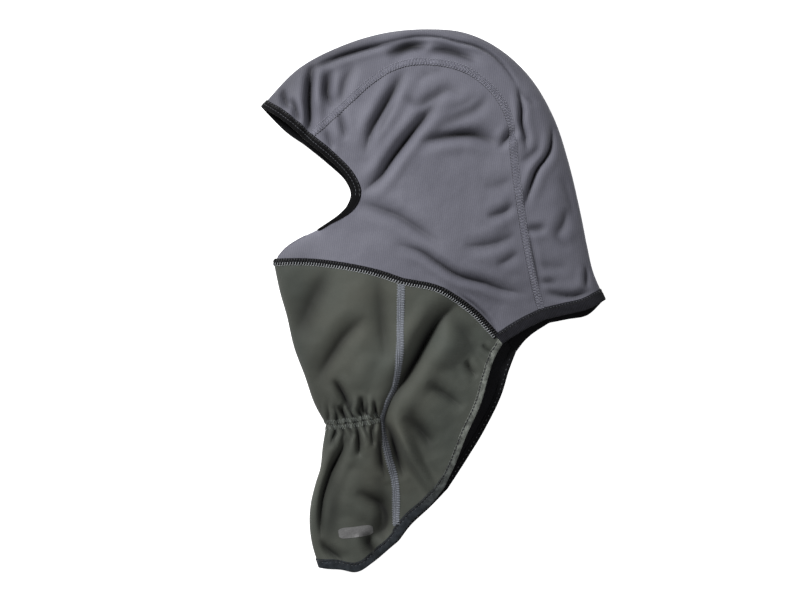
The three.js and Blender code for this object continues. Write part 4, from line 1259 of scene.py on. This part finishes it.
def reflective_finish():
    """A retroreflective film: grey, with a fine bead pattern."""
    finish = Finish("reflective_film", roughness=0.34, specular=0.6)
    beads = finish.dots(0.7)
    worn = finish.noise(4, 3)
    tone = finish.sum((beads, 0.5), (worn, 0.5))
    finish.paint(finish.ramp(tone, (0.2, (88, 88, 88)), (0.8, (122, 122, 122))))
    finish.relief(beads, 0.05, 0.5)
    return finish.material


JERSEY_CLOTH = jersey_finish()
SOFTSHELL_CLOTH = softshell_finish()
LINING = fleece_finish()
FACE_TAPE = tape_finish("face_tape", (2, 2, 3), (13, 13, 15), sheen=0.0)
NAPE_KNIT = tape_finish("nape_knit", (14, 14, 17), (44, 44, 50), rib=1.3, depth=0.2)
HEM_KNIT = hem_finish()
INNER_TAPE = tape_finish("inner_tape", (8, 8, 9), (20, 20, 23))
SEAM_TAPE = tape_finish("seam_tape_tonal", (82, 82, 92), (106, 106, 117), rib=1.1, depth=0.1)
SEAM_BLACK = tape_finish("seam_tape_black", (8, 8, 10), (22, 22, 26), rib=1.1, depth=0.1)
SEAM_GREY = tape_finish("seam_tape_grey", (86, 89, 95), (116, 120, 127), rib=0.8, depth=0.1)
ELASTIC_TAPE = tape_finish("elastic_tape", (22, 22, 24), (44, 44, 47), rib=0.8, depth=0.2)
TONAL_THREAD = thread_finish("tonal_thread", (112, 112, 123), (142, 142, 153))
LIGHT_THREAD = thread_finish("light_thread", (132, 135, 138), (166, 169, 172))
GREY_THREAD = thread_finish("grey_thread", (118, 122, 130), (152, 156, 165))
BLACK_THREAD = thread_finish("black_thread", (8, 8, 10), (22, 22, 25))
DARK_THREAD = thread_finish("dark_thread", (58, 60, 65), (92, 94, 100))
MOSS_THREAD = thread_finish("moss_thread", (88, 94, 89), (128, 134, 128))
FILM = reflective_finish()


# The pieces
def binding_profile(depth, cloth_half, top):
    """A folded tape round a raw edge, with a groove where it is stitched down."""
    inside = cloth_half + 0.25
    outer = [(-0.7, 0.0), (-0.6, 0.55), (-0.35, 0.85), (0.06, 0.98), (0.22, 1.0), (0.42, 1.0),
             (0.58, 0.97), (0.66, 0.84), (0.72, 0.8), (0.78, 0.86), (0.86, 0.96), (0.94, 0.92)]
    above = [(side if side < 0 else side * depth, up * top) for side, up in outer]
    return [*above, (depth, inside + 0.15), (depth, inside), (1.4, inside), (0.9, 0.3),
            (0.9, -0.3), (1.4, -inside), (depth, -inside), (depth, -inside - 0.15),
            *[(side, -up) for side, up in above[:0:-1]]]


def smooth_step(value, low, high):
    share = min(1.0, max(0.0, (value - low) / (high - low)))
    return share * share * (3 - 2 * share)


FACE_TURN_END = 46  # how far from the nose the face binding has its full width


def face_depth(strip, along):
    """The face binding narrows where it turns over the nose."""
    near = min(along % strip.length, -along % strip.length)
    return 1.9 + 4.9 * smooth_step(near, 12, FACE_TURN_END)


# Margins of the panels, bindings and seams, and the flat area of each panel, the crown and the chin
# taken whole over their middle fold
SEAM_IN = 0.08  # each panel's edge stops this far short of the middle of its seam
BOUND_IN = 0.9  # and this far inside a binding
JERSEY_TOP = 1.4  # outer face of a binding, from the middle of the cloth
SOFTSHELL_TOP = 1.48
STITCH_MARGIN = 3  # from the end of a binding to its first stitch
TAPE_GAP = 0.04  # between the cloth and a seam's tape


def flat_area(name):
    """The area of a panel before it is creased, in square metres."""
    grid = GRIDS[name]
    long, wide = grid[1:, 1:] - grid[:-1, :-1], grid[:-1, 1:] - grid[1:, :-1]
    return np.linalg.norm(np.cross(long, wide), axis=-1).sum() / 2e6


def panel_sheets(pieces):
    """Works out the flat area of every panel; the result is not used."""
    for name, piece in pieces.items():
        flat_area(name)


def panels():
    around = (SEAM_IN, BOUND_IN, SEAM_IN, BOUND_IN)
    hood = (SEAM_IN, BOUND_IN, SEAM_IN, 0)
    neck = (SEAM_IN, BOUND_IN, BOUND_IN, SEAM_IN)
    chin = (SEAM_IN, BOUND_IN, SEAM_IN, SEAM_IN)
    jersey, softshell = (JERSEY_CLOTH, LINING), (SOFTSHELL_CLOTH, LINING)
    cuts = [
        ("hood_side_left", JERSEY, jersey, "jersey", hood),
        ("hood_side_right", JERSEY, jersey, "jersey", hood),
        ("crown_panel", JERSEY, jersey, "jersey", around),
        ("chin_panel", SOFTSHELL, softshell, "softshell", chin),
        ("neck_side_left", SOFTSHELL, softshell, "softshell", neck),
        ("neck_side_right", SOFTSHELL, softshell, "softshell", neck),
    ]
    return {cut[0]: cloth_piece(*cut) for cut in cuts}


def binding(name, strip, profile_of, outer):
    """A folded tape with its own outer finish, and a black inner leg."""
    shape = line_inner_leg(swept(strip, profile_of, whole_of(strip)), len(profile_of(0)))
    return build(name, shape, [outer, INNER_TAPE])


def face_binding(strip):
    def profile(along):
        depth = face_depth(strip, along)
        return binding_profile(depth, JERSEY / 2, JERSEY_TOP * (0.7 + 0.3 * depth / 7.6))

    binding("face_binding", strip, profile, FACE_TAPE)
    stitching = Shape()
    span = whole_of(strip, FACE_TURN_END)
    for side in (2.4, 5.8):
        stitch_row(stitching, strip, span, side, JERSEY_TOP - 0.02, pitch=2.6, share=0.7, radius=0.22)
    stitching.ink = 1
    stitch_row(stitching, strip, span, 4.8, JERSEY_TOP - 0.3, pitch=2.6, share=0.95, radius=0.22)
    build("face_binding_stitching", stitching, [DARK_THREAD, BLACK_THREAD])


def nape_binding(strip):
    section = binding_profile(9.6, JERSEY / 2, JERSEY_TOP)
    binding("nape_binding", strip, lambda along: section, NAPE_KNIT)
    stitching = Shape()
    span = whole_of(strip, STITCH_MARGIN)
    stitch_row(stitching, strip, span, 6.9, JERSEY_TOP - 0.22, pitch=2.4, share=0.85, radius=0.26)
    stitching.ink = 1
    stitch_row(stitching, strip, span, 8.2, JERSEY_TOP - 0.02, pitch=2.4, share=0.5, radius=0.24)
    build("nape_binding_stitching", stitching, [BLACK_THREAD, DARK_THREAD])


def hem_depth(strip, along):
    """The hem is narrow along the sides of the neck and wider round the flap."""
    near = min(along, strip.length - along)
    return 5.0 + 2.6 * smooth_step(near, 118, 140)


def neck_hem(strip):
    def profile(along):
        return binding_profile(hem_depth(strip, along), SOFTSHELL / 2, SOFTSHELL_TOP)

    binding("neck_hem_binding", strip, profile, HEM_KNIT)
    stitching = Shape()
    hem_row(stitching, strip, 0.84, SOFTSHELL_TOP - 0.1, pitch=3.0, long=0.8, radius=0.46)
    stitching.ink = 1
    hem_row(stitching, strip, 0.68, SOFTSHELL_TOP, pitch=3.4, long=0.35, radius=0.24)
    hem_row(stitching, strip, 0.4, -SOFTSHELL_TOP - 0.06, pitch=4.2, long=0.3, radius=0.26)
    build("neck_hem_stitching", stitching, [BLACK_THREAD, DARK_THREAD])


def hem_row(shape, strip, share, up, pitch, long, radius):
    """A row of stitches at a share of the hem's depth."""
    first = np.arange(STITCH_MARGIN, strip.length - STITCH_MARGIN - pitch, pitch)
    along = first[:, None] + np.linspace(0, 1, 4)[None] * pitch * long
    depth = np.array([hem_depth(strip, place) for place in first])[:, None]
    threads(shape, strip, along, depth * share, up, radius)


def tape_profile(half, low, high):
    """A flat seam tape with rounded shoulders."""
    return [(-half, low), (-half, low + 0.6 * (high - low)), (-half + 0.4, high), (0, high + 0.06),
            (half - 0.4, high), (half, low + 0.6 * (high - low)), (half, low), (0, low)]


def seam_tape(strip, span, half, cloth, thick):
    """A seam's tape, and the height of its underside."""
    low = cloth / 2 + TAPE_GAP
    return swept(strip, lambda along: tape_profile(half, low, low + thick), span), low


def crown_seam(name, strip):
    span = whole_of(strip, 8)
    shape, low = seam_tape(strip, span, 2.5, JERSEY, thick=0.3)
    shape.ink = 1
    zigzag(shape, strip, span, (-2.3, 2.3), low + 0.44, pitch=2.4, radius=0.28)
    for side in (-2.5, 2.5):
        stitch_row(shape, strip, span, side, low + 0.38, pitch=2.4, share=0.72, radius=0.26)
    shape.ink = 2
    stitch_row(shape, strip, span, -3.1, low, pitch=2.4, share=0.6, radius=0.24)
    build(name, shape, [SEAM_TAPE, TONAL_THREAD, BLACK_THREAD])


def chin_seam(strip):
    shape, low = seam_tape(strip, whole_of(strip, 7), 2.7, SOFTSHELL, thick=0.25)
    end = strip.length - 8
    shape.ink = 1
    rungs(shape, strip, (9, end), (0.5, 2.9), low + 0.46, pitch=2.2, slant=0.3, radius=0.32)
    stitch_row(shape, strip, (9, end), 3.0, low + 0.24, pitch=2.2, share=0.72, radius=0.3)
    shape.ink = 2
    rungs(shape, strip, (10.1, end), (-2.8, 0.4), low + 0.4, pitch=2.2, slant=0.3, radius=0.42)
    build("chin_seam", shape, [SEAM_BLACK, LIGHT_THREAD, BLACK_THREAD])


def neck_seam(name, strip):
    span = (3, strip.length - 11)
    shape, low = seam_tape(strip, span, 2.8, SOFTSHELL, thick=0.28)
    shape.ink = 1
    for side in (-2.0, -0.7):
        stitch_row(shape, strip, span, side, low + 0.46, pitch=2.2, share=0.9, radius=0.34)
    rungs(shape, strip, span, (-3.4, -2.4), low + 0.36, pitch=2.0, slant=0.3, radius=0.26)
    rungs(shape, strip, span, (0.3, 3.2), low + 0.4, pitch=2.0, slant=0.4, radius=0.3)
    build(name, shape, [SEAM_GREY, GREY_THREAD])


def nose_seam():
    """The short seam that joins the two hood sides over the nose fold."""
    strip = Strip(ids["hood_side_left"][0, :NOSE_CELLS + 1], SEAM_SIDES[1:-1])
    span = (5, strip.length - 12)
    shape, low = seam_tape(strip, span, 2.2, JERSEY, thick=0.25)
    shape.ink = 1
    zigzag(shape, strip, span, (-2.1, 2.1), low + 0.38, pitch=1.5, radius=0.18)
    build("nose_seam", shape, [SEAM_TAPE, TONAL_THREAD])


CORDS = 5
ELASTIC_HALF = 3  # half of its width
ELASTIC_GAP = 1.5  # between the cloth and the elastic


def throat_elastic(strip):
    """A corded elastic inside the throat, and the zigzag stitches that hold it."""
    high = -SOFTSHELL / 2 - ELASTIC_GAP
    ridges = [(ELASTIC_HALF - ELASTIC_HALF * k / CORDS, high - (0.9 if k % 2 else 0.65))
              for k in range(2 * CORDS + 1)]
    section = [(-ELASTIC_HALF, high), (ELASTIC_HALF, high), *ridges]
    smooth = elastic_strip()
    band = swept(smooth, lambda along: section, whole_of(smooth))
    build("throat_elastic", band, [ELASTIC_TAPE])
    stitching = Shape()
    for sides in ((-4.4, -0.6), (0.6, 4.4)):
        zigzag(stitching, strip, whole_of(strip, 1), sides, SOFTSHELL / 2 + 0.16, pitch=3.0, radius=0.26)
    build("throat_elastic_stitching", stitching, [MOSS_THREAD])


PATCH_CENTRE = (-65.0, -190.0)
PATCH_HALF = (14.0, 4.5)  # half of its length and of its width
PATCH_TILT = 0.12
PATCH_GRID = (57, 19)
PATCH_GAP = 0.06
FILM_THICKNESS = 0.24
ABOVE_ALL = 90  # higher than any cloth


def reflective_patch():
    """A rounded strip of film, bonded to the flap."""
    along, across = np.meshgrid(*[np.linspace(-1, 1, count) for count in PATCH_GRID], indexing="ij")
    across = across * (1 - 0.45 * np.abs(along) ** 8)
    a, b = along * PATCH_HALF[0], across * PATCH_HALF[1]
    x = PATCH_CENTRE[0] + a * math.cos(PATCH_TILT) - b * math.sin(PATCH_TILT)
    y = PATCH_CENTRE[1] + a * math.sin(PATCH_TILT) + b * math.cos(PATCH_TILT)
    places, outs = np.zeros((*PATCH_GRID, 3)), np.zeros((*PATCH_GRID, 3))
    for spot in np.ndindex(PATCH_GRID):
        hit = cloth_tree.ray_cast(Vector((x[spot], y[spot], ABOVE_ALL)), Vector((0, 0, -1)))[0]
        places[spot], outs[spot] = snap(hit)
    low = SOFTSHELL / 2 + PATCH_GAP
    both = np.stack([places + outs * (low + FILM_THICKNESS), places + outs * low])
    shape = Shape().add(both, [face for part in sheet_faces(*PATCH_GRID) for face in part])
    build("reflective_patch", shape, [FILM])


def make_pieces():
    panel_sheets(panels())
    face_binding(face_strip())
    nape_binding(nape_strip())
    neck_hem(hem_strip())
    for side in SIDES:
        crown_seam(f"crown_seam_{side}", side_seam_strip(side, ids[f"hood_side_{side}"][:, -1]))
    chin_seam(chin_seam_strip())
    for side in SIDES:
        neck_seam(f"neck_seam_{side}", side_seam_strip(side, ids[f"neck_side_{side}"][0]))
    nose_seam()
    throat_elastic(throat_strip())
    reflective_patch()


# Floor, light and camera
FLOOR_DROP = 0.0004  # under the surface that the garment rests on, clear of the lowest stitches
FLOOR_GLOW = 0.75


def floor():
    """A pale floor that glows a little, so that it stays white round the garment."""
    bpy.ops.mesh.primitive_plane_add(size=40, location=(0, 0, -FLOOR_DROP))
    plane = bpy.context.object
    plane.name = "floor"
    finish = Finish("floor", roughness=0.9, specular=0.1)
    mottle = finish.noise(300)
    finish.paint(finish.ramp(mottle, (0.3, (244, 244, 244)), (0.7, (250, 250, 250))))
    finish.shader.inputs["Emission Color"].default_value = (1, 1, 1, 1)
    finish.shader.inputs["Emission Strength"].default_value = FLOOR_GLOW
    plane.data.materials.append(finish.material)


def softbox(name, place, size, watts):
    light = bpy.data.lights.new(name, "AREA")
    light.shape = "DISK"
    light.size = size
    light.energy = watts
    lamp = bpy.data.objects.new(name, light)
    lamp.location = place
    lamp.rotation_euler = (-Vector(place)).to_track_quat("-Z", "Y").to_euler()
    bpy.context.scene.collection.objects.link(lamp)


def studio():
    softbox("key", (-0.7, 0.75, 0.8), size=0.35, watts=21)
    softbox("fill", (0.6, -0.3, 1.3), size=0.8, watts=5.0)
    world = bpy.data.worlds.new("studio")
    world.use_nodes = True
    sky = world.node_tree.nodes["Background"]
    sky.inputs["Color"].default_value = (1, 1, 1, 1)
    sky.inputs["Strength"].default_value = 0.2
    bpy.context.scene.world = world
    bpy.context.scene.view_settings.view_transform = "Standard"


def camera():
    """Straight above the garment, with the crown at the top of the image."""
    lens = bpy.data.cameras.new("camera")
    lens.lens = 65
    eye = bpy.data.objects.new("camera", lens)
    eye.location = (-0.0278, 0.0008, 1.214)
    bpy.context.scene.collection.objects.link(eye)
    bpy.context.scene.camera = eye


make_pieces()
floor()
studio()
camera()
